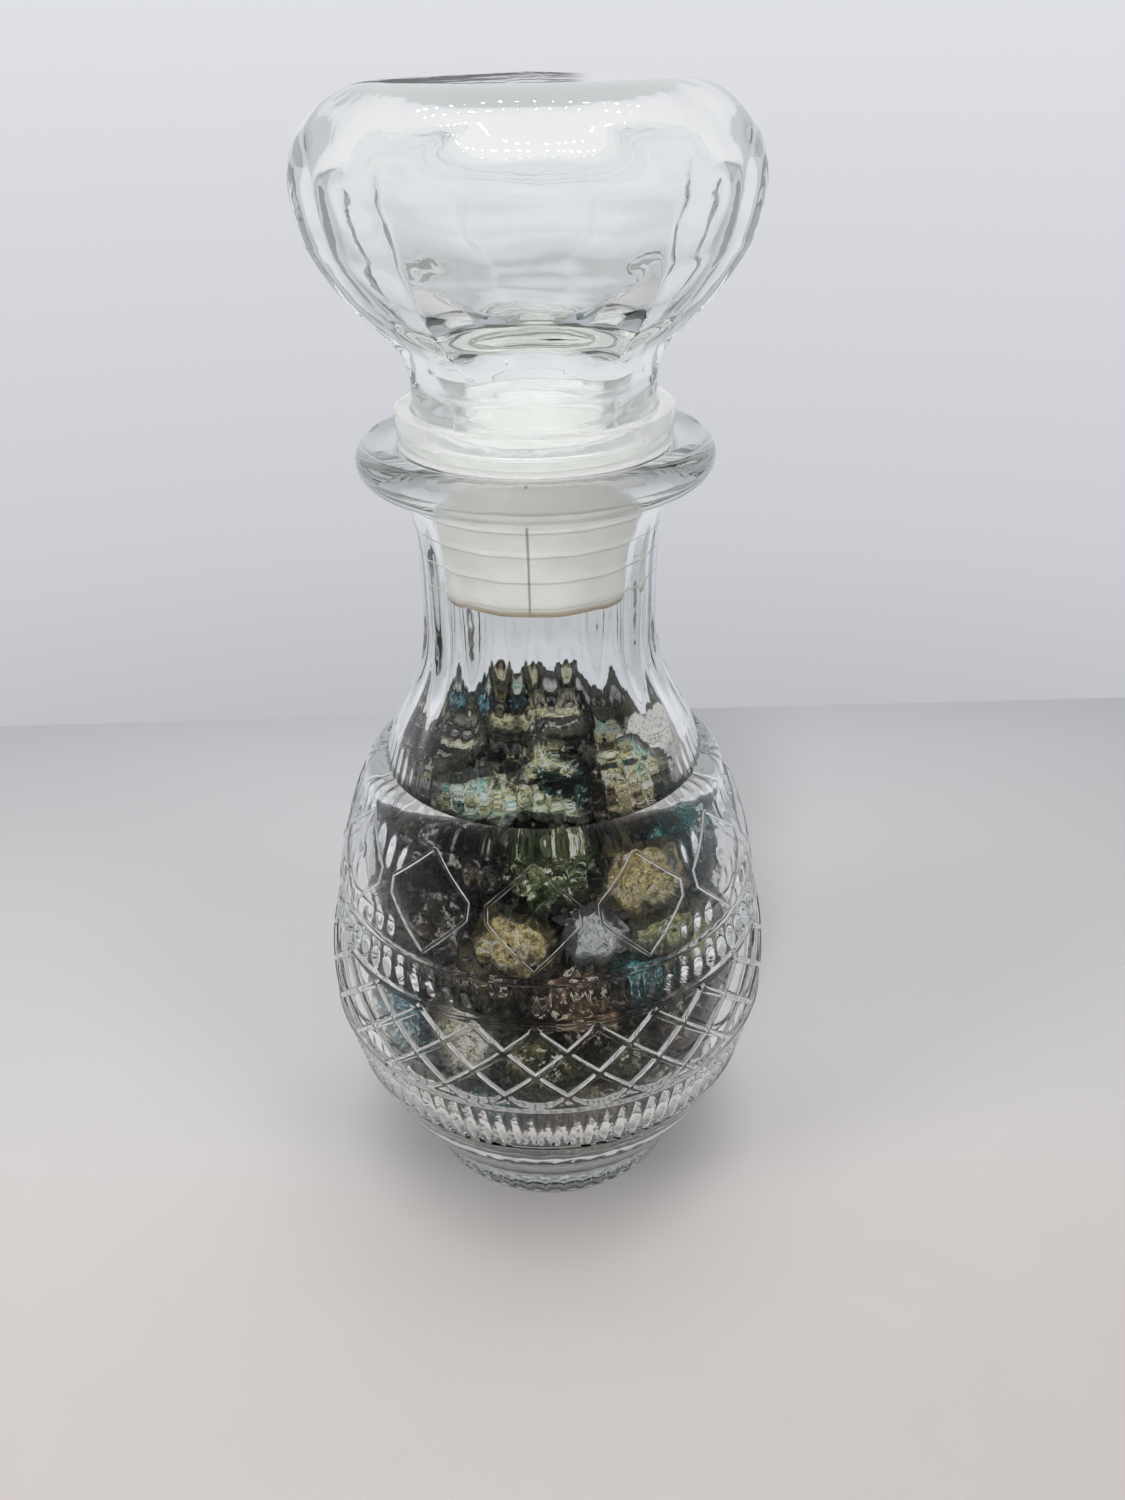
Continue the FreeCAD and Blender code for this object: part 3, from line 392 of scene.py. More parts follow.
# Stretches of the side, beside the beads: bottom, top, and how many rings stand in each.
RING_STRETCHES = ((0.6, 7, 8), (7, 27.6, 8), (28.8, 40.4, 19), (42.0, 43.6, 5), (45, 57.5, 6),
                  (58.4, 59.5, 4), (61.1, 67.8, 15), (69.6, 88.6, 28))

foot = [(0, 1.5, "", 0, 0), (21.0, 1.5, "line", 3, 0), (21.6, 0.5, "right", 3, 1.2),
        (22.3, 0, "line", 1, 0), (26.0, 0, "line", 1, 0), (26.8, 0.6, "left", 2, 0.8)]
side = [(26.8, 0.6, "", 0, 0), (29.2, 7, "line", FINE, 0), (40.1, 27.6, "left", FINE, 120),
        (40.42, 28.8, "left", FINE, 0.66), (43.42, 40.4, "left", FINE, 53.5),
        (43.5, 41.6, "left", FINE, 0.66), (43.9, 47.5, "level_end", FINE, 0),
        (41.8, 59.9, "level_start", FINE, 0), (41.6, 61.1, "left", FINE, 0.66),
        (40.5, 67.8, "line", FINE, 0), (40.2, 69.0, "left", FINE, 0.66),
        (34.0, 89.0, "left", FINE, 52)]
neck = [(34.0, 89.0, "", 0, 0), (29.7, 93.2, "level_start", 5, 0),
        (24.2, 106.3, "left", 12, 60), (20.8, 121, "level_end", 7, 0),
        (20.8, 129, "line", 1, 0), (22.1, 143.2, "level_start", 6, 0),
        (27.7, 146.1, "right", 5, 6.5), (27.7, 152.5, "left", 9, 3.4),
        (24.0, 151.9, "line", 1, 0), (23.2, 151.55, "right", 2, 3.0)]
inside_corners = [
    (22.4, 151.6, "", 0, 0), (18.0, 151.6, "line", 2, 0), (17.3, 150.9, "left", 3, 0.75),
    (17.3, 118, "line", 6, 0), (20.0, 106.3, "level_start", 6, 0),
    (28.6, 89.0, "right", 7, 60), (35.4, 68.4, "right", 7, 45), (36.7, 60.5, "line", 2, 0),
    (38.9, 47.5, "level_end", 4, 0), (35.3, 28.2, "level_start", 6, 0),
    (17, 9.5, "right", 8, 26), (0, 9.5, "line", 4, 0)]


def ring_heights():
    """Heights of the rings on the patterned side, closest where the pattern is finest."""
    rings = [bead + BEAD * share for bead in BEADS for share in (-1, -0.55, 0, 0.55, 1)]
    for stretch in RING_STRETCHES:
        rings += [*np.linspace(*stretch)]
    rings = np.unique(np.round(rings, 4))
    return rings[np.append(True, np.diff(rings) > CLOSEST_RINGS) & (rings < LEDGE)]


heights = ring_heights()
side_radius, side_height = np.array(trace(side)).T
rings = list(zip(np.interp(heights, side_height, side_radius), heights))
outer_skin = spin_outline("outer_skin", trace(foot) + rings[1:] + trace(neck), GLASS_COLUMNS)
inner_skin = spin_outline("inner_skin", trace(inside_corners), INNER_COLUMNS)
decanter = join_skins(outer_skin, inner_skin, "decanter_glass_cut")

# %% [markdown]
# ## The pressed pattern
# The pattern was cut in the mould: flutes up the neck, feathers on the shoulder, a frieze of
# diamonds, two rope bands, a sunk band for the lattice and a ribbed foot. Each could be modelled
# once and copied round, but then every edge where copies meet would show in clear glass. So the
# relief is a formula of turn and height, and the skin is moved by it. Raised bars come after.

# %% Shapes that the pattern is made of


def step(low, high, value):
    """0 below low, 1 above high, and smooth between."""
    share = np.clip((value - low) / (high - low), 0, 1)
    return share * share * (3 - 2 * share)


def around(turn, pitch, start=0.0):
    """The signed angle from the nearest of the marks that stand a pitch apart."""
    return (turn - start + pitch / 2) % pitch - pitch / 2


def scoops(turn, up, low, high, count, depth):
    """Petal-shaped hollows in a band, pointed below and round above."""
    share = np.clip((up - low) / (high - low), 0, 1)
    width = np.sqrt(np.sin(np.pi * share ** 1.7)) * 0.96 + 1e-6
    across = around(turn, 360 / count) * count / 180
    return -depth * np.clip(1 - (across / width) ** 2, 0, 1) ** 0.8


def soft_least(one, other, rounding):
    """The smaller of two values, rounded where they are nearly equal."""
    apart = np.clip(0.5 + 0.5 * (other - one) / rounding, 0, 1)
    return other + (one - other) * apart - rounding * apart * (1 - apart)


def oval(across, up, half_width, half_height, depth):
    """One dimple."""
    return -depth * np.clip(1 - (across / half_width) ** 2 - (up / half_height) ** 2, 0, 1)


print("pattern shapes ready")

# %% The bands of the pattern
DIAMOND_START, DIAMOND_PITCH = -3.8, 30.0
FLUTES, FLUTE_START, FLUTE_ROUNDING = 16, -3.75, 0.8
FOOT_RIBS, LOWER_ROPE, UPPER_ROPE = 48, 88, 72
LOWER_BAND, UPPER_BAND, ROPE_DEPTH = (28.9, 40.3), (61.2, 67.7), 0.9
DOT_UP, PETAL_UP, DROP_UP, DIMPLE = 81.0, 85.4, 72.6, 0.6


def crossing_waves(turn, up):
    """Faint waves that cross on the plain glass between the foot and the lower rope."""
    waving = (np.abs(np.sin(np.radians(turn * 18 + up * 26)))
              * np.abs(np.sin(np.radians(turn * 18 - up * 26))))
    return -0.22 * waving * step(9, 11, up) * (1 - step(25, 27, up))


def feathers(turn, up):
    """The faint slanting strokes on the shoulder."""
    strokes = np.sin(np.radians(turn * 36 + up * 8)) ** 2
    return -0.18 * step(93.6, 95, up) * (1 - step(97, 100, up)) * strokes


def sunk_band(turn, up):
    """The band that the lattice stands on, scalloped at its lower edge."""
    edge = 42.9 - 0.5 * np.cos(np.radians(around(turn, 15, DIAMOND_START) * 24))
    return -0.6 * step(edge - 0.4, edge + 0.4, up) * (1 - step(58.9, 59.4, up))


def frieze(turn, up):
    """Sunk fields of twelve diamonds with a round dot each, and drops and petals between them.

    A degree is about 0.65 mm of skin here, which is what turns are multiplied by.
    """
    off = around(turn, DIAMOND_PITCH, DIAMOND_START)
    spread = np.abs(off) / DIAMOND_HALF + np.abs(up - DIAMOND_MIDDLE) / DIAMOND_TALL
    height = -0.12 * (1 - step(0.90, 1.0, spread))
    height += oval(off * 0.65, up - DOT_UP, 1.25, 1.25, DIMPLE)
    between = around(turn, DIAMOND_PITCH, DIAMOND_START + DIAMOND_PITCH / 2)
    for side in (-1, 0, 1):
        lean = between - side * 4.8 - side * (up - 84) * 0.35
        height += oval(lean * 0.62, up - PETAL_UP, 1.15, 3.2, DIMPLE)
        height += oval((between - side * 4.7) * 0.66, up - DROP_UP, 0.85, 2.2, DIMPLE)
    return height


def flutes(turn, up, radius):
    """How deep the round-ended flutes cut into the neck of the given radius."""
    reach, full_low, full_high, low_end, high_end = 8.8, 106, 132, 6.5, 8
    past = np.maximum((full_low - up) / low_end, (up - full_high) / high_end)
    sink = (0.44 + 0.16 * step(104, 116, up)) * (1 - np.maximum(past, 0) ** 2)
    centre = radius + reach - np.maximum(sink, 0)
    bearing = np.radians(around(turn, 360 / FLUTES, FLUTE_START))
    under = reach ** 2 - (centre * np.sin(bearing)) ** 2
    wall = centre * np.cos(bearing) - np.sqrt(np.maximum(under, 0))
    wall = np.where((under > 0) & (sink > 0), wall, radius + 2)
    return soft_least(wall, radius, FLUTE_ROUNDING) - radius


def pattern(turn, up, radius):
    """The whole pattern's height over the plain skin, from bands of (bottom, top, height)."""
    height = np.zeros_like(turn)
    for low, high, band in (
            (0.7, 7.0, scoops(turn, up, 0.0, 7.4, FOOT_RIBS, 0.55)),
            (9.0, 27.0, crossing_waves(turn, up)),
            (*LOWER_BAND, scoops(turn, up, *LOWER_BAND, LOWER_ROPE, ROPE_DEPTH)),
            (41.0, 60.5, sunk_band(turn, up)),
            (*UPPER_BAND, scoops(turn, up, *UPPER_BAND, UPPER_ROPE, ROPE_DEPTH)),
            (69.0, 89.5, frieze(turn, up)),
            (93.6, 100, feathers(turn, up)),
            (99, 140, flutes(turn, up, radius))):
        height = np.where((up >= low) & (up <= high), height + band, height)
    return height


print("bands of the pattern ready")

# %% [markdown]
# ## Pressing the pattern into the skin
# The hollows of the rope bands lean. If they crossed the columns of faces at a slant their edges
# would look saw-toothed, so the columns are first leaned with them and straightened again in
# the plain stretches. The inside, which no mould cut, only gets the slow waves of poured glass.

# %% Move the skin
LOWER_LEAN, UPPER_LEAN = 4.2, 2.3
LEAN = ((0, 0), (9, 0), (LOWER_BAND[0], LOWER_LEAN), (LOWER_BAND[1], -LOWER_LEAN),
        (UPPER_BAND[0], UPPER_LEAN), (UPPER_BAND[1], -UPPER_LEAN), (80, 0), (160, 0))


def in_group(piece, name):
    """Which vertices are in a vertex group."""
    piece.vertex_groups.active = piece.vertex_groups[name]
    bpy.context.view_layer.objects.active = piece
    bpy.ops.object.mode_set(mode="EDIT")
    bpy.ops.mesh.select_all(action="DESELECT")
    bpy.ops.object.vertex_group_select()
    bpy.ops.object.mode_set(mode="OBJECT")
    chosen = np.zeros(len(piece.data.vertices), bool)
    piece.data.vertices.foreach_get("select", chosen)
    return chosen


def read_places(piece):
    """Every vertex's place, one row each."""
    places = np.zeros(len(piece.data.vertices) * 3)
    piece.data.vertices.foreach_get("co", places)
    return places.reshape(-1, 3)


def write_places(piece, places):
    """Put every vertex at its row's place."""
    piece.data.vertices.foreach_set("co", places.ravel())
    piece.data.update()


def to_round(places):
    """Turn in degrees from the front, height and radius in millimetres."""
    return (np.degrees(np.arctan2(places[:, 0], -places[:, 1])), places[:, 2] / MM,
            np.hypot(places[:, 0], places[:, 1]) / MM)


def from_round(turn, up, radius):
    """The places again."""
    turn = np.radians(turn)
    return np.stack([radius * np.sin(turn), -radius * np.cos(turn), up], 1) * MM


def waves(turn, up, size):
    """Slow uneven waves, the same each time, of the given size in millimetres."""
    turn = np.radians(turn)
    return size * (np.sin(3 * turn + up * 0.11) * 0.4 + np.sin(7 * turn - up * 0.23 + 1) * 0.3
                   + np.sin(11 * turn + up * 0.37 + 2) * 0.2 + np.sin(up * 0.9 + 4 * turn) * 0.1)


outer = in_group(decanter, "outside")
turn, up, radius = to_round(read_places(decanter))
turn = turn + np.interp(up, *zip(*LEAN)) * outer
radius = radius + np.where(outer, pattern(turn, up, radius) + waves(turn, up, 0.03) - 0.03,
                           waves(turn, up, 0.07) - 0.07)
radius = np.where(radius < 0.02, 0, radius)
write_places(decanter, from_round(turn, up, radius))
print("decanter skin", len(outer), "vertices,", int(outer.sum()), "of them outside")

# %% [markdown]
# ## Raised bars
# The lattice and the outlines of the diamonds are raised bars, round on top. A bar is a curve
# with a round section, laid half into the skin, and joined to it with a boolean. Bars that lean
# one way never touch each other, so each set is joined in one go, and the other set after it.

# %% Laying and joining bars


def lay_bars(name, path, thick, count, closed=False):
    """A round bar along a path of (turn, height, radius), copied all round the axis."""
    curve = bpy.data.curves.new(name, "CURVE")
    curve.dimensions, curve.bevel_depth, curve.bevel_resolution = "3D", thick * MM, 4
    curve.use_fill_caps = not closed
    line = curve.splines.new("POLY")
    line.points.add(len(path) - 1)
    places = from_round(*np.array(path, float).T)
    line.points.foreach_set("co", np.append(places, np.ones((len(path), 1)), 1).ravel())
    line.use_cyclic_u = closed
    bars = bpy.data.objects.new(name, curve)
    bpy.context.scene.collection.objects.link(bars)
    pick(bars)
    bpy.ops.object.convert(target="MESH")
    bars = bpy.context.object
    bpy.ops.object.mode_set(mode="EDIT")
    bpy.ops.mesh.select_all(action="SELECT")
    bpy.ops.mesh.remove_doubles(threshold=WELD)
    bpy.ops.mesh.normals_make_consistent(inside=False)
    bpy.ops.mesh.spin(steps=count - 1, dupli=True, angle=2 * math.pi * (count - 1) / count,
                      center=(0, 0, 0), axis=(0, 0, 1))
    bpy.ops.object.mode_set(mode="OBJECT")
    bpy.ops.object.shade_smooth()
    return bars


def fuse(piece, bars):
    """Join a ring of bars to a piece."""
    bpy.context.view_layer.objects.active = piece
    union = piece.modifiers.new("join_bars", "BOOLEAN")
    union.operation, union.solver, union.object = "UNION", "MANIFOLD", bars
    bpy.ops.object.modifier_apply(modifier=union.name)
    print(piece.name, "has", len(piece.data.polygons), "faces after", bars.name)
    bpy.data.objects.remove(bars)


# %% Bars of the lattice and the diamonds
BELLY, BAR_REACH, BAR_SLOPE, BAR_SHIFT = 47.5, 43.2, math.radians(41), 3.0
BAR_START, BAR_END, BAR_POINTS = -10.4, 24.6, 22
LATTICE_THICK, LATTICE_BARS = 0.7, 24
DIAMOND_THICK, DIAMONDS, DIAMOND_SPACING = 0.36, 12, 1.2


def slanting(lean):
    """The path of a bar: part of a slanting circle round the middle of the belly."""
    share = np.radians(np.linspace(BAR_START, BAR_END, BAR_POINTS))
    across, ahead = np.sin(share) * math.cos(BAR_SLOPE), np.cos(share)
    turn = DIAMOND_START + lean * (np.degrees(np.arctan2(across, ahead)) - BAR_SHIFT)
    return np.stack([turn, BELLY + BAR_REACH * math.sin(BAR_SLOPE) * np.sin(share),
                     BAR_REACH * np.hypot(across, ahead)], 1)


def diamond_path():
    """The outline of a diamond with blunt corners at its sides, on the frieze's skin."""
    corners = [(0, 70.4), (12.2, 78.8), (12.5, 81.8), (0.6, 88.7), (-0.6, 88.7), (-12.5, 81.8),
               (-12.2, 78.8)]
    path = []
    for (x0, z0), (x1, z1) in zip(corners, corners[1:] + corners[:1]):
        parts = max(1, round(math.hypot(x1 - x0, z1 - z0) / DIAMOND_SPACING))
        path += [(x0 + (x1 - x0) * part / parts, z0 + (z1 - z0) * part / parts)
                 for part in range(parts)]
    across, up = np.array(path).T
    return np.stack([DIAMOND_START + across, up, np.interp(up, side_height, side_radius) - 0.1], 1)


fuse(decanter, lay_bars("bars_right", slanting(1), LATTICE_THICK, LATTICE_BARS))
fuse(decanter, lay_bars("bars_left", slanting(-1), LATTICE_THICK, LATTICE_BARS))
fuse(decanter, lay_bars("diamond_bars", diamond_path(), DIAMOND_THICK, DIAMONDS, closed=True))
pick(decanter)
bpy.ops.object.mode_set(mode="EDIT")
bpy.ops.mesh.select_mode(type="EDGE")
bpy.ops.mesh.select_all(action="DESELECT")
bpy.ops.mesh.edges_select_sharp(sharpness=math.radians(55))
bpy.ops.mesh.mark_sharp()
bpy.ops.mesh.select_mode(type="VERT")
bpy.ops.object.mode_set(mode="OBJECT")
print("triangles of the decanter:", sum(len(face.vertices) - 2 for face in decanter.data.polygons))

# %% [markdown]
# ## The glass
# Clear soda glass bends light, and the Principled shader does that with full transmission. Two
# things make it real: a very faint unevenness of the surface, and letting lamp light and the
# light between the stones pass as if the glass were only lightly tinted, which keeps the stones
# inside as bright as they are in a thin vessel. That second part is a Light Path switch, which
# also lets out light that has been thrown to and fro inside the wall, as it never stays there.
# The thick base and the rolled lip are tinted greyer than the rest, partly because light goes
# further there and partly as painted shade, and the mirror that clear glass is at a glance is
# dimmed head on, so that no haze hides the stones.

# %% Clear glass
BASE_TOP, BASE_LOW = 0.030, 0.006
LIP_LOW, LIP_TOP, LIP_INNER, LIP_EDGE = 0.1440, 0.1534, 0.0245, 0.0285
glass, tree, output = new_material("clear_pressed_glass")
where = place(tree, "TexCoord").outputs["Object"]
soft_waves = noise(tree, where, 160.0, 2.0)
glass_bump = place(tree, "Bump", {"Height": soft_waves, "Strength": 0.10, "Distance": 0.001})
smears = noise(tree, where, 45.0, 5.0)
smear = ramp(tree, smears, (0.50, 0.0), (0.80, 0.03))
up = place(tree, "SeparateXYZ", {0: where}).outputs[2]
# Greener and darker towards the bottom: partly the tint of the thick base, partly painted shade.
glass_tint_and_shade = blend(tree, remap(tree, up, BASE_TOP, BASE_LOW), (0.985, 0.995, 0.99, 1),
                    (0.57, 0.62, 0.605, 1))
level = place(tree, "VectorMath", {0: where, 1: (1, 1, 0)}, operation="MULTIPLY").outputs[0]
from_axis = place(tree, "VectorMath", {0: level}, operation="LENGTH").outputs[1]
# The rolled lip is tinted greyer: partly its thickness, partly painted shade for the darker
# surroundings it bends into view.
lip_tint_and_shade = sums(tree, "MULTIPLY", sums(tree, "LESS_THAN", up, LIP_TOP),
           sums(tree, "GREATER_THAN", up, LIP_LOW))
lip_tint_and_shade = sums(tree, "MULTIPLY", lip_tint_and_shade, remap(tree, from_axis, LIP_INNER, LIP_EDGE))
glass_tint_and_shade = blend(tree, lip_tint_and_shade, glass_tint_and_shade, (0.69, 0.71, 0.70, 1))
grazing = place(tree, "Fresnel", {"IOR": 1.52, "Normal": glass_bump.outputs[0]})
mirror = ramp(tree, grazing.outputs[0], (0.05, 0.14), (0.6, 1.0))
clear = place(tree, "BsdfPrincipled", {
    "Base Color": glass_tint_and_shade, "Roughness": smear, "IOR": 1.52,
    "Specular Tint": mirror, "Transmission Weight": 1.0,
    "Normal": glass_bump.outputs[0]})
ray = place(tree, "LightPath").outputs
trapped = is_trapped(tree, ray)
passing = sums(tree, "MAXIMUM", ray["Is Shadow Ray"], ray["Is Diffuse Ray"])
close_clear(tree, output, clear, sums(tree, "MAXIMUM", passing, trapped),
            blend(tree, trapped, (0.965, 0.97, 0.968, 1), (0.68, 0.705, 0.70, 1)))
decanter.data.materials.clear()
decanter.data.materials.append(glass)
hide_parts("decanter_glass")
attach(decanter, "decanter")
print("glass on", decanter.name)

# %% [markdown]
# ## The knob
# The knob is blown hollow and pressed flat on six sides while soft, so its panels meet in
# rounded pillars. It is spun like the decanter, then every ring is drawn in to the six planes
# with a soft rounding, which is how the heat of the fire leaves the edges.

# %% Outline of the knob
KNOB_COLUMNS, KNOB_INNER_COLUMNS = 360, 120
knob_outside = [
    (0, 205.0, "", 0, 0), (21.8, 204.3, "line", 10, 0), (36.3, 190.0, "level_end", 26, 0),
    (23.3, 167.9, "level_start", 26, 0), (20.1, 161.0, "level_end", 8, 0),
    (20.1, 154.4, "line", 7, 0), (19.3, 153.6, "right", 3, 0.8), (15.6, 153.6, "line", 2, 0)]
knob_inside = [
    (14.6, 153.6, "", 0, 0), (14.0, 154.3, "right", 3, 0.75), (14.0, 166.4, "line", 5, 0),
    (16.8, 172.4, "level_start", 5, 0), (29.2, 190.0, "level_end", 12, 0),
    (19.5, 198.7, "level_start", 10, 0), (0, 199.4, "line", 6, 0)]
outer_skin = spin_outline("knob_outer_skin", trace(knob_outside), KNOB_COLUMNS)
inner_skin = spin_outline("knob_inner_skin", trace(knob_inside), KNOB_INNER_COLUMNS)
knob = join_skins(outer_skin, inner_skin, "stopper_knob_glass")

# %% Press the six panels
PANELS, PANEL_START = 6, 0.8
PANEL_HEIGHTS = (161.0, 164.4, 167.9, 175.0, 182.0, 190.0, 206.0)
PANEL_PLANES = (20.1, 20.25, 21.1, 26.6, 31.0, 32.9, 32.9)
PANELS_LOWEST, PANEL_ROUNDING = 160.5, 1.6

outer = in_group(knob, "outside")
turn, up, radius = to_round(read_places(knob))
off = np.radians(around(turn, 360 / PANELS, PANEL_START))
plane = np.interp(up, PANEL_HEIGHTS, PANEL_PLANES) / np.cos(off)
flat = soft_least(radius, plane, PANEL_ROUNDING)
rings = 0.16 * np.sin(up * 2.4 + 0.6 * np.sin(np.radians(turn * 2))) * (1 - step(163, 172, up))
outer_waves = (np.minimum(rings, 0) - 0.04 + waves(turn, up, 0.12) * step(150, 160, up)
               - 0.1 * step(155, 165, up))
inner_waves = waves(turn, up * 1.6, 0.35) * step(166, 172, up)
radius = np.where(outer & (up > PANELS_LOWEST), flat, radius)
radius = np.maximum(radius + np.where(outer, outer_waves, inner_waves), 0)
write_places(knob, from_round(turn, up, radius))
knob.data.materials.append(glass)
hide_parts("stopper_knob")
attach(knob, "knob")
print("knob", len(outer), "vertices")

# %% [markdown]
# ## The sleeve
# The sleeve is moulded in milky plastic: a collar with a cup for the knob's foot, a plug whose
# five ribs grip the neck, and a spigot that goes up into the knob. It is spun too; its ribs are
# part of the outline, and a bevel softens every edge as a mould does.

# %% Outline of the sleeve


def ribs(wall, lowest, count, rib=0.45, width=1.1, pitch=4.6):
    """Corners of ribs on a wall, going up."""
    return [(wall + out, lowest + number * pitch + share * width, "line", 1, 0)
            for number in range(count)
            for out, share in ((0, 0), (rib, 1 / 3), (rib, 2 / 3), (0, 1))]


sleeve_corners = [
    (0, 151.6, "", 0, 0), (15.0, 151.6, "line", 4, 0), (15.0, 126.8, "line", 4, 0),
    (16.8, 126.8, "line", 1, 0), *ribs(16.8, 128.2, 5), (16.8, 151.6, "line", 1, 0),
    (22.9, 151.6, "line", 2, 0), (22.9, 157.6, "line", 2, 0), (20.4, 157.6, "line", 1, 0),
    (20.4, 153.6, "line", 1, 0), (13.5, 153.6, "line", 2, 0), *ribs(13.5, 156.4, 2),
    (13.5, 165.6, "line", 1, 0), (11.7, 165.6, "line", 1, 0), (11.7, 153.6, "line", 2, 0),
    (0, 153.6, "line", 3, 0)]
sleeve = spin_outline("stopper_sleeve_plastic", trace(sleeve_corners), 144)
edges = sleeve.modifiers.new("soft_edges", "BEVEL")
edges.width, edges.segments = 0.00022, 2
edges.limit_method, edges.angle_limit = "ANGLE", math.radians(25)
bpy.ops.object.modifier_apply(modifier=edges.name)
print("sleeve", len(sleeve.data.polygons), "faces")

# %% [markdown]
# The plug is milky, so light soaks into it, and the thin collar above it is nearly clear: that
# takes two materials on one moulding. A seam runs down the front of the plug, and its lowest
# edge is coloured dark brown.

# %% Milky plastic
DARK_EDGE_TOP, DARK_EDGE_LOW, SEAM_AT, SEAM_TOP = 0.1281, 0.1273, -0.0016, 0.1445
plastic, tree, output = new_material("milky_plastic")
where = place(tree, "TexCoord").outputs["Object"]
across, ahead, up = place(tree, "SeparateXYZ", {0: where}).outputs
cloud = noise(tree, where, 220.0, 4.0)
# The lowest edge of the plug is coloured dark brown.
dark_low_edge = remap(tree, up, DARK_EDGE_TOP, DARK_EDGE_LOW, 0.0, 0.85)
aside = sums(tree, "ABSOLUTE", sums(tree, "SUBTRACT", across, SEAM_AT))
seam_reach = sums(tree, "MULTIPLY", sums(tree, "LESS_THAN", ahead, 0.0),
                  sums(tree, "LESS_THAN", up, SEAM_TOP))
seam = sums(tree, "MULTIPLY", remap(tree, aside, 0.00030, 0.00012, 0.0, 0.7), seam_reach)
milk = ramp(tree, cloud, (0.3, (0.60, 0.595, 0.57)), (0.7, (0.67, 0.665, 0.64)))
milk = blend(tree, seam, milk, (0.16, 0.15, 0.13, 1))
milk = blend(tree, dark_low_edge, milk, (0.26, 0.20, 0.13, 1))
grain = place(tree, "Bump", {"Height": cloud, "Strength": 0.15, "Distance": 0.0004})
milky = place(tree, "BsdfPrincipled", {
    "Base Color": milk, "Roughness": 0.20, "IOR": 1.45, "Transmission Weight": 0.58,
    "Normal": grain.outputs[0]})
ray = place(tree, "LightPath").outputs
passing = sums(tree, "MAXIMUM", ray["Is Shadow Ray"], is_trapped(tree, ray))
close_clear(tree, output, milky, passing, (0.80, 0.82, 0.80, 1))
sleeve.data.materials.append(plastic)
print("milky plastic has", len(tree.nodes), "nodes")

# %% Clear plastic of the collar
COLLAR_LOW = 0.1517
thin_plastic, tree, output = new_material("clear_plastic")
where = place(tree, "TexCoord").outputs["Object"]
haze = noise(tree, where, 260.0, 5.0)
ripple = place(tree, "Bump", {"Height": haze, "Strength": 0.2, "Distance": 0.0005})
collar_shader = place(tree, "BsdfPrincipled", {
    "Base Color": (0.985, 0.985, 0.98, 1), "IOR": 1.45, "Transmission Weight": 0.9,
    "Roughness": ramp(tree, haze, (0.35, 0.05), (0.7, 0.16)),
    "Normal": ripple.outputs[0]})
ray = place(tree, "LightPath").outputs
passing = sums(tree, "MAXIMUM", ray["Is Shadow Ray"], is_trapped(tree, ray))
close_clear(tree, output, collar_shader, passing, (0.88, 0.90, 0.88, 1))
sleeve.data.materials.append(thin_plastic)
for face in sleeve.data.polygons:
    face.material_index = int(face.center.z > COLLAR_LOW)
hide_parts("stopper_sleeve")
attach(sleeve, "sleeve")
print("plastic on", sleeve.name)

# %% [markdown]
# ## The stones: colour
# The heap is broken ore: black and brown rock crusted with green, blue, ochre and white
# minerals. All of them share how broken stone varies, in patches, in grains and along cracks,
# so that is one node group, and each mineral chooses its own colours and sizes.

# %% A group for broken stone
stone_group = tree = bpy.data.node_groups.new("broken_stone", "ShaderNodeTree")
for name, value in (("Patch Scale", 120.0), ("Grain Scale", 900.0)):
    tree.interface.new_socket(name, in_out="INPUT",
                              socket_type="NodeSocketFloat").default_value = value
for name in ("Patches", "Tints", "Chips", "Grains", "Cracks", "Grit", "Height"):
    tree.interface.new_socket(name, in_out="OUTPUT", socket_type="NodeSocketFloat")
patch_scale, grain_scale = tree.nodes.new("NodeGroupInput").outputs[:2]
where = place(tree, "TexCoord").outputs["Object"]
bent = place(tree, "TexNoise", {"Vector": where, "Scale": 420.0, "Detail": 6.0, "Roughness": 0.7})
where = place(tree, "VectorMath", {0: bent.outputs["Color"], 1: (0.0055, 0.0055, 0.0055),
                                   2: where}, operation="MULTIPLY_ADD").outputs[0]
patches = noise(tree, where, patch_scale, 6.0, 0.62)
tint_scale = sums(tree, "MULTIPLY", patch_scale, 0.55)
tints = place(tree, "TexNoise", {"Vector": where, "Scale": tint_scale, "Detail": 8.0,
                                 "Roughness": 0.7, "W": 4.0}, noise_dimensions="4D")
grains = place(tree, "TexVoronoi", {"Vector": where, "Scale": grain_scale})
grit_noise = noise(tree, where, 1300.0, 4.0, 0.75)
coarse_scale = sums(tree, "MULTIPLY", grain_scale, 0.45)
coarse = place(tree, "TexVoronoi", {"Vector": where, "Scale": coarse_scale})
cracks = place(tree, "TexVoronoi", {"Vector": where, "Scale": coarse_scale},
               feature="DISTANCE_TO_EDGE")
grain_grey = place(tree, "SeparateColor", {0: grains.outputs["Color"]}).outputs[0]
chip_grey = place(tree, "SeparateColor", {0: coarse.outputs["Color"]}).outputs[1]


def tilted_facets(tree, cells, scale, where):
    """A height that slopes its own way in each cell, like a mosaic of crystal faces."""
    inside = place(tree, "VectorMath", {0: where, 1: cells.outputs["Position"]},
                   operation="SUBTRACT").outputs[0]
    slope = place(tree, "VectorMath", {0: cells.outputs["Color"], 1: (0.5, 0.5, 0.5)},
                  operation="SUBTRACT").outputs[0]
    rise = place(tree, "VectorMath", {0: inside, 1: slope}, operation="DOT_PRODUCT").outputs[1]
    return sums(tree, "MULTIPLY", rise, scale)


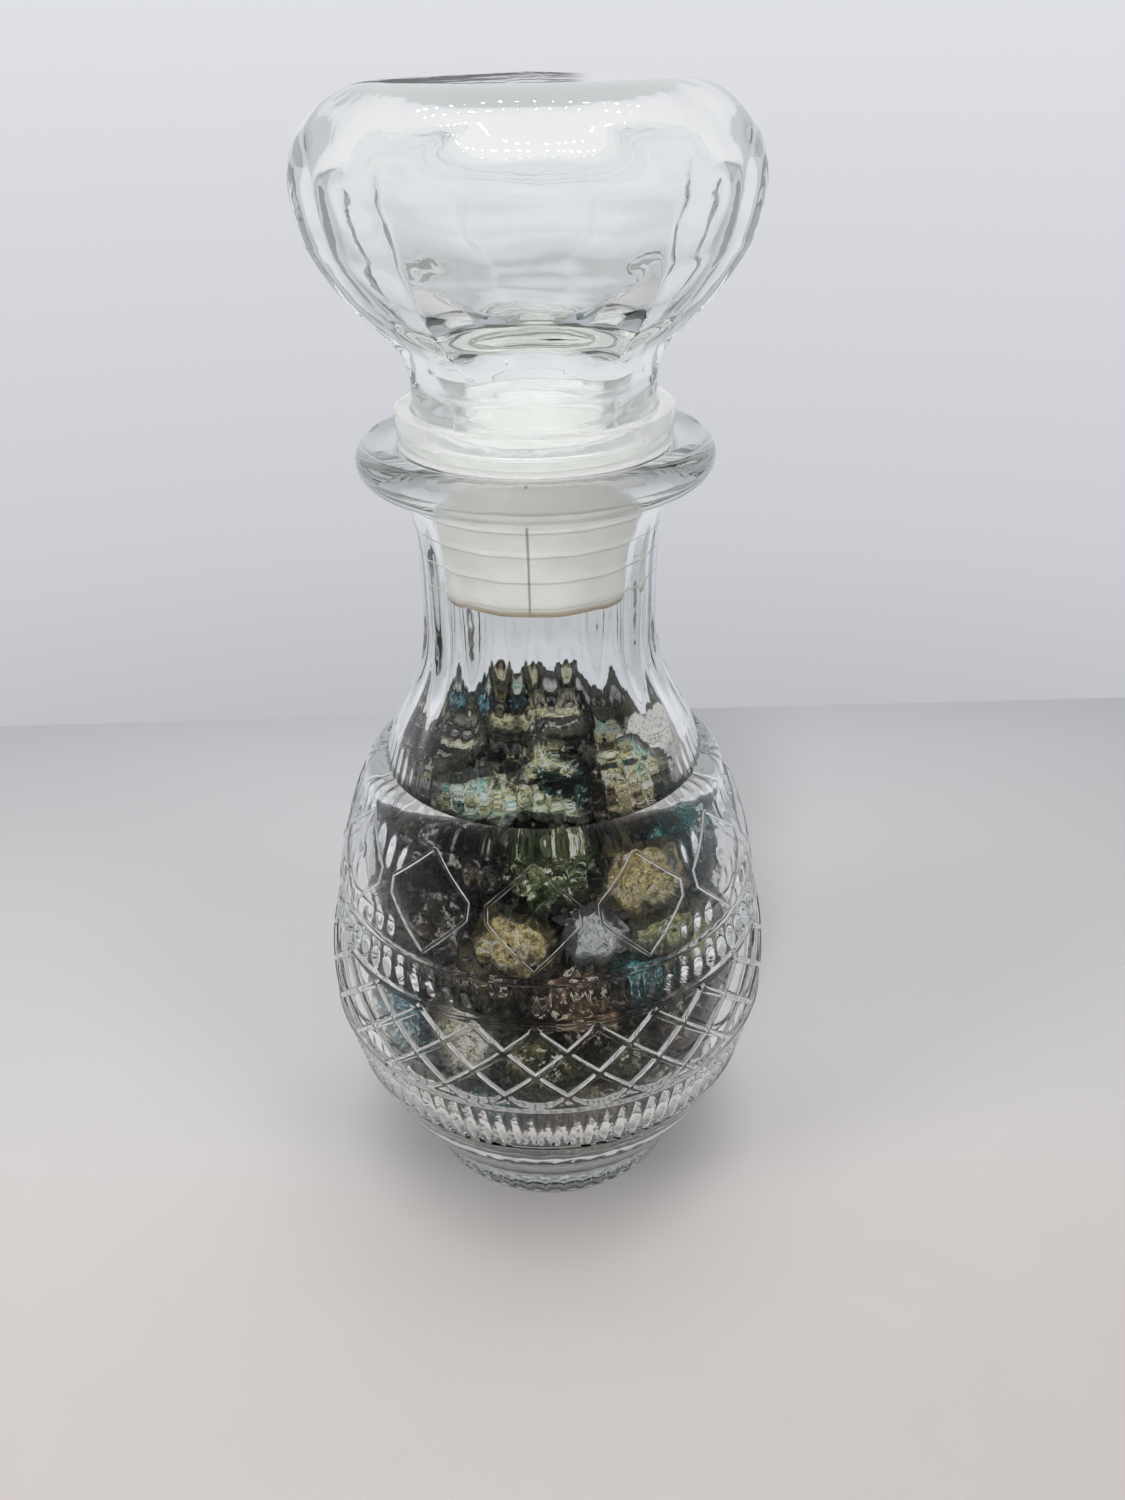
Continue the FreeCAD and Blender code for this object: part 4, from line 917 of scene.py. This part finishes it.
height = sums(tree, "MULTIPLY", patches, 1.6)
for part, share in ((tilted_facets(tree, coarse, coarse_scale, where), 1.6),
                    (tilted_facets(tree, grains, grain_scale, where), 0.7), (grit_noise, 1.2)):
    height = sums(tree, "ADD", height, sums(tree, "MULTIPLY", part, share))
result = tree.nodes.new("NodeGroupOutput")
for name, socket in (("Patches", patches), ("Tints", tints.outputs["Fac"]), ("Chips", chip_grey),
                     ("Grains", grain_grey), ("Cracks", cracks.outputs["Distance"]),
                     ("Grit", grit_noise), ("Height", height)):
    tree.links.new(socket, result.inputs[name])
print("broken stone group has", len(tree.nodes), "nodes")

# %% Colours of the minerals
# Each row: rock, main colour, second colour, flecks, share of rock, patch and grain scale,
# roughness, and how metallic the flecks are. The top of the heap is crusted in three colours,
# each where the tints pass two levels, and its colours are painted brighter than the rest:
# painted light, as little light reaches it under the neck and the plug.
HEAP_LOW, HEAP_TOP = 0.086, 0.096
CRUSTS = ((.49, .55, (.50, .44, .24)), (.57, .60, (.22, .50, .40)), (.64, .67, (.10, .26, .38)))
GAIN, HEAP_TOP_PAINTED_GAIN, BRIGHTEST = 3.2, 5.4, .9
MINERALS = {
    "galena": ((.003, .003, .003), (.045, .040, .036), (.17, .14, .095), (.82, .76, .62),
               .50, 190, 1000, .32, .6),
    "basalt": ((.006, .005, .004), (.095, .075, .048), (.25, .20, .12), (.62, .54, .38),
               .48, 150, 1100, .65, 0),
    "jasper": ((.014, .009, .006), (.19, .125, .08), (.37, .28, .185), (.70, .58, .42),
               .47, 130, 1000, .70, 0),
    "olivine": ((.009, .010, .005), (.16, .16, .068), (.35, .33, .15), (.70, .68, .44),
                .47, 150, 1100, .75, 0),
    "pyrite": ((.012, .008, .004), (.66, .50, .22), (.86, .74, .44), (.97, .92, .70),
               .45, 180, 1200, .45, .2),
    "calcite": ((.10, .088, .062), (.60, .56, .43), (.76, .72, .60), (.90, .88, .80),
                .38, 110, 1000, .65, 0),
    "chrysocolla": ((.005, .010, .010), (.045, .21, .21), (.14, .42, .40), (.50, .70, .64),
                    .44, 140, 1000, .65, 0),
    "malachite": ((.006, .009, .005), (.080, .100, .050), (.29, .29, .15), (.62, .66, .42),
                  .48, 160, 1100, .70, 0),
    "serpentine": ((.030, .028, .012), (.60, .60, .30), (.76, .77, .50), (.92, .92, .74),
                   .42, 160, 1100, .70, 0),
    "azurite": ((.006, .014, .020), (.085, .23, .29), (.22, .41, .45), (.52, .66, .66),
                .44, 150, 1100, .75, 0),
    "feldspar": ((.20, .17, .15), (.60, .53, .48), (.74, .67, .62), (.86, .81, .77),
                 .32, 90, 800, .6, 0),
    "amazonite": ((.16, .20, .18), (.80, .90, .83), (.90, .95, .91), (.97, .99, .96),
                  .32, 190, 1500, .75, 0),
    "turquoise": ((.004, .007, .006), (.035, .085, .070), (.18, .58, .49), (.66, .84, .76),
                  .50, 120, 1000, .65, 0)}


def stone_material(mineral):
    """Broken stone in a mineral's own colours."""
    rock, main, second, fleck, share, patch_scale, grain_scale, rough, metal = MINERALS[mineral]
    material, tree, output = new_material(mineral + "_stone")
    broken = tree.nodes.new("ShaderNodeGroup")
    broken.node_tree = stone_group
    broken.inputs["Patch Scale"].default_value = patch_scale
    broken.inputs["Grain Scale"].default_value = grain_scale
    patches, tints, chips, grains, cracks, grit_and_pit_shade, height = broken.outputs
    colour = blend(tree, ramp(tree, patches, (share - .05, 0.0), (share + .07, 1.0)),
                   (*rock, 1), (*main, 1))
    colour = blend(tree, ramp(tree, tints, (.50, 0.0), (.62, 1.0)), colour, (*second, 1))
    shine = ramp(tree, grains, (.83, 0.0), (.88, 1.0))
    darkest = min(.6, .08 + max(main))
    colour = blend(tree, 1.0, colour, ramp(tree, chips, (0.0, darkest), (.5, (darkest + 1) / 2),
                                           (.8, 1.0), (1.0, 1.15)), "MULTIPLY")
    up = place(tree, "SeparateXYZ", {0: place(tree, "TexCoord").outputs["Object"]}).outputs[2]
    high = remap(tree, up, HEAP_LOW, HEAP_TOP)
    for low_end, high_end, crust in CRUSTS:
        crusted = sums(tree, "MULTIPLY", high, ramp(tree, tints, (low_end, 0.0), (high_end, .85)))
        colour = blend(tree, crusted, colour, (*crust, 1))
    colour = blend(tree, shine, colour, (*fleck, 1))
    colour = blend(tree, ramp(tree, grains, (0.0, .5), (.5, 0.0)), colour, (*rock, 1))
    colour = blend(tree, ramp(tree, cracks, (0.0, .5), (.08, 0.0)), colour, (*rock, 1))
    # Darker where the fine grit noise is low, which is where the bump sinks: partly the stone's
    # grit, partly painted shade in its pits.
    colour = blend(tree, 1.0, colour, ramp(tree, grit_and_pit_shade, (.36, .05), (.46, .34), (.60, 1.0)),
                   "MULTIPLY")
    # Painted light: the colours are scaled up more towards the top of the heap.
    gain_with_painted_light = remap(tree, up, HEAP_LOW, HEAP_TOP, GAIN, HEAP_TOP_PAINTED_GAIN)
    for operation, amount in (("MULTIPLY", gain_with_painted_light), ("MINIMUM", (BRIGHTEST,) * 3)):
        colour = place(tree, "VectorMath", {0: colour, 1: amount}, operation=operation).outputs[0]
    # Pointiness paints shade into the hollows of the stone and a painted highlight of the second
    # colour along its ridges.
    edge = place(tree, "NewGeometry").outputs["Pointiness"]
    colour = blend(tree, 1.0, colour, ramp(tree, edge, (.40, .12), (.495, 1.0)), "MULTIPLY")
    colour = blend(tree, ramp(tree, edge, (.52, 0.0), (.62, .5)), colour, (*second, 1))
    bump = place(tree, "Bump", {"Height": height, "Strength": 1.0, "Distance": 0.0010})
    inputs = {"Base Color": colour, "Normal": bump.outputs[0],
              "Specular IOR Level": 0.3 if metal else 0.1,
              "Roughness": ramp(tree, grains, (0.2, rough), (1.0, rough * .45))}
    if metal:
        inputs["Metallic"] = sums(tree, "MULTIPLY", shine, metal)
    stone = place(tree, "BsdfPrincipled", inputs)
    tree.links.new(stone.outputs[0], output.inputs["Surface"])
    return material


stone_materials = {mineral: stone_material(mineral) for mineral in MINERALS}
print(len(stone_materials), "stone materials")

# %% [markdown]
# ## The stones: shape
# Each stone starts as a copy of its plain faceted solid. A voxel remesh gives it an even skin,
# and three procedural displacements, all inward so that stones never grow into each other or
# into the glass, break that skin into facets, lumps and grit.

# %% Textures that roughen a stone
# Each push says how far a texture reaches into a rough stone and into a smooth one.


def rough_texture(name, kind, size, **settings):
    """A procedural texture for a displacement, with features of a size in metres."""
    texture = bpy.data.textures.new(name, kind)
    texture.noise_scale = size
    for setting, value in settings.items():
        setattr(texture, setting, value)
    return texture


facets = rough_texture("stone_facets", "VORONOI", 0.0050, noise_intensity=1.0,
                       distance_metric="DISTANCE", weight_1=-1.0, weight_2=1.0)
lumps = rough_texture("stone_lumps", "CLOUDS", 0.0034, noise_depth=4)
grit = rough_texture("stone_grit", "CLOUDS", 0.0009, noise_depth=3, noise_type="HARD_NOISE")
PUSHES = ((facets, 0.0009, 0.0003), (lumps, 0.0013, 0.0004), (grit, 0.0006, 0.0002))
SMOOTH_STONES, VOXEL = ("feldspar",), 0.00048
print("three roughening textures")

# %% Roughen every stone


def roughen(node, mineral):
    """A rough copy of one node of stones, in its place."""
    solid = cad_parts[node]
    piece = solid.copy()
    piece.data = solid.data.copy()
    piece.name = node + "_rough"
    piece.parent = None
    for key in list(piece.keys()):
        del piece[key]
    bpy.context.scene.collection.objects.link(piece)
    pick(piece)
    bpy.ops.object.mode_set(mode="EDIT")
    bpy.ops.mesh.select_all(action="SELECT")
    bpy.ops.mesh.remove_doubles(threshold=WELD)
    bpy.ops.object.mode_set(mode="OBJECT")
    skin = piece.modifiers.new("even_skin", "REMESH")
    skin.mode, skin.voxel_size = "VOXEL", VOXEL
    for texture, *reaches in PUSHES:
        push = piece.modifiers.new(texture.name, "DISPLACE")
        push.texture, push.texture_coords = texture, "LOCAL"
        push.mid_level, push.strength = 1.0, reaches[mineral in SMOOTH_STONES]
    for name in [modifier.name for modifier in piece.modifiers]:
        bpy.ops.object.modifier_apply(modifier=name)
    bpy.ops.object.shade_smooth()
    piece.data.materials.clear()
    piece.data.materials.append(stone_materials[mineral])
    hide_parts(node)
    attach(piece, "decanter")
    return len(piece.data.polygons)


stone_faces = {node: roughen(node, node.split("_course_")[0])
               for node in sorted(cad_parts) if "_course_" in node}
print(len(stone_faces), "nodes of stones with", sum(stone_faces.values()), "faces")
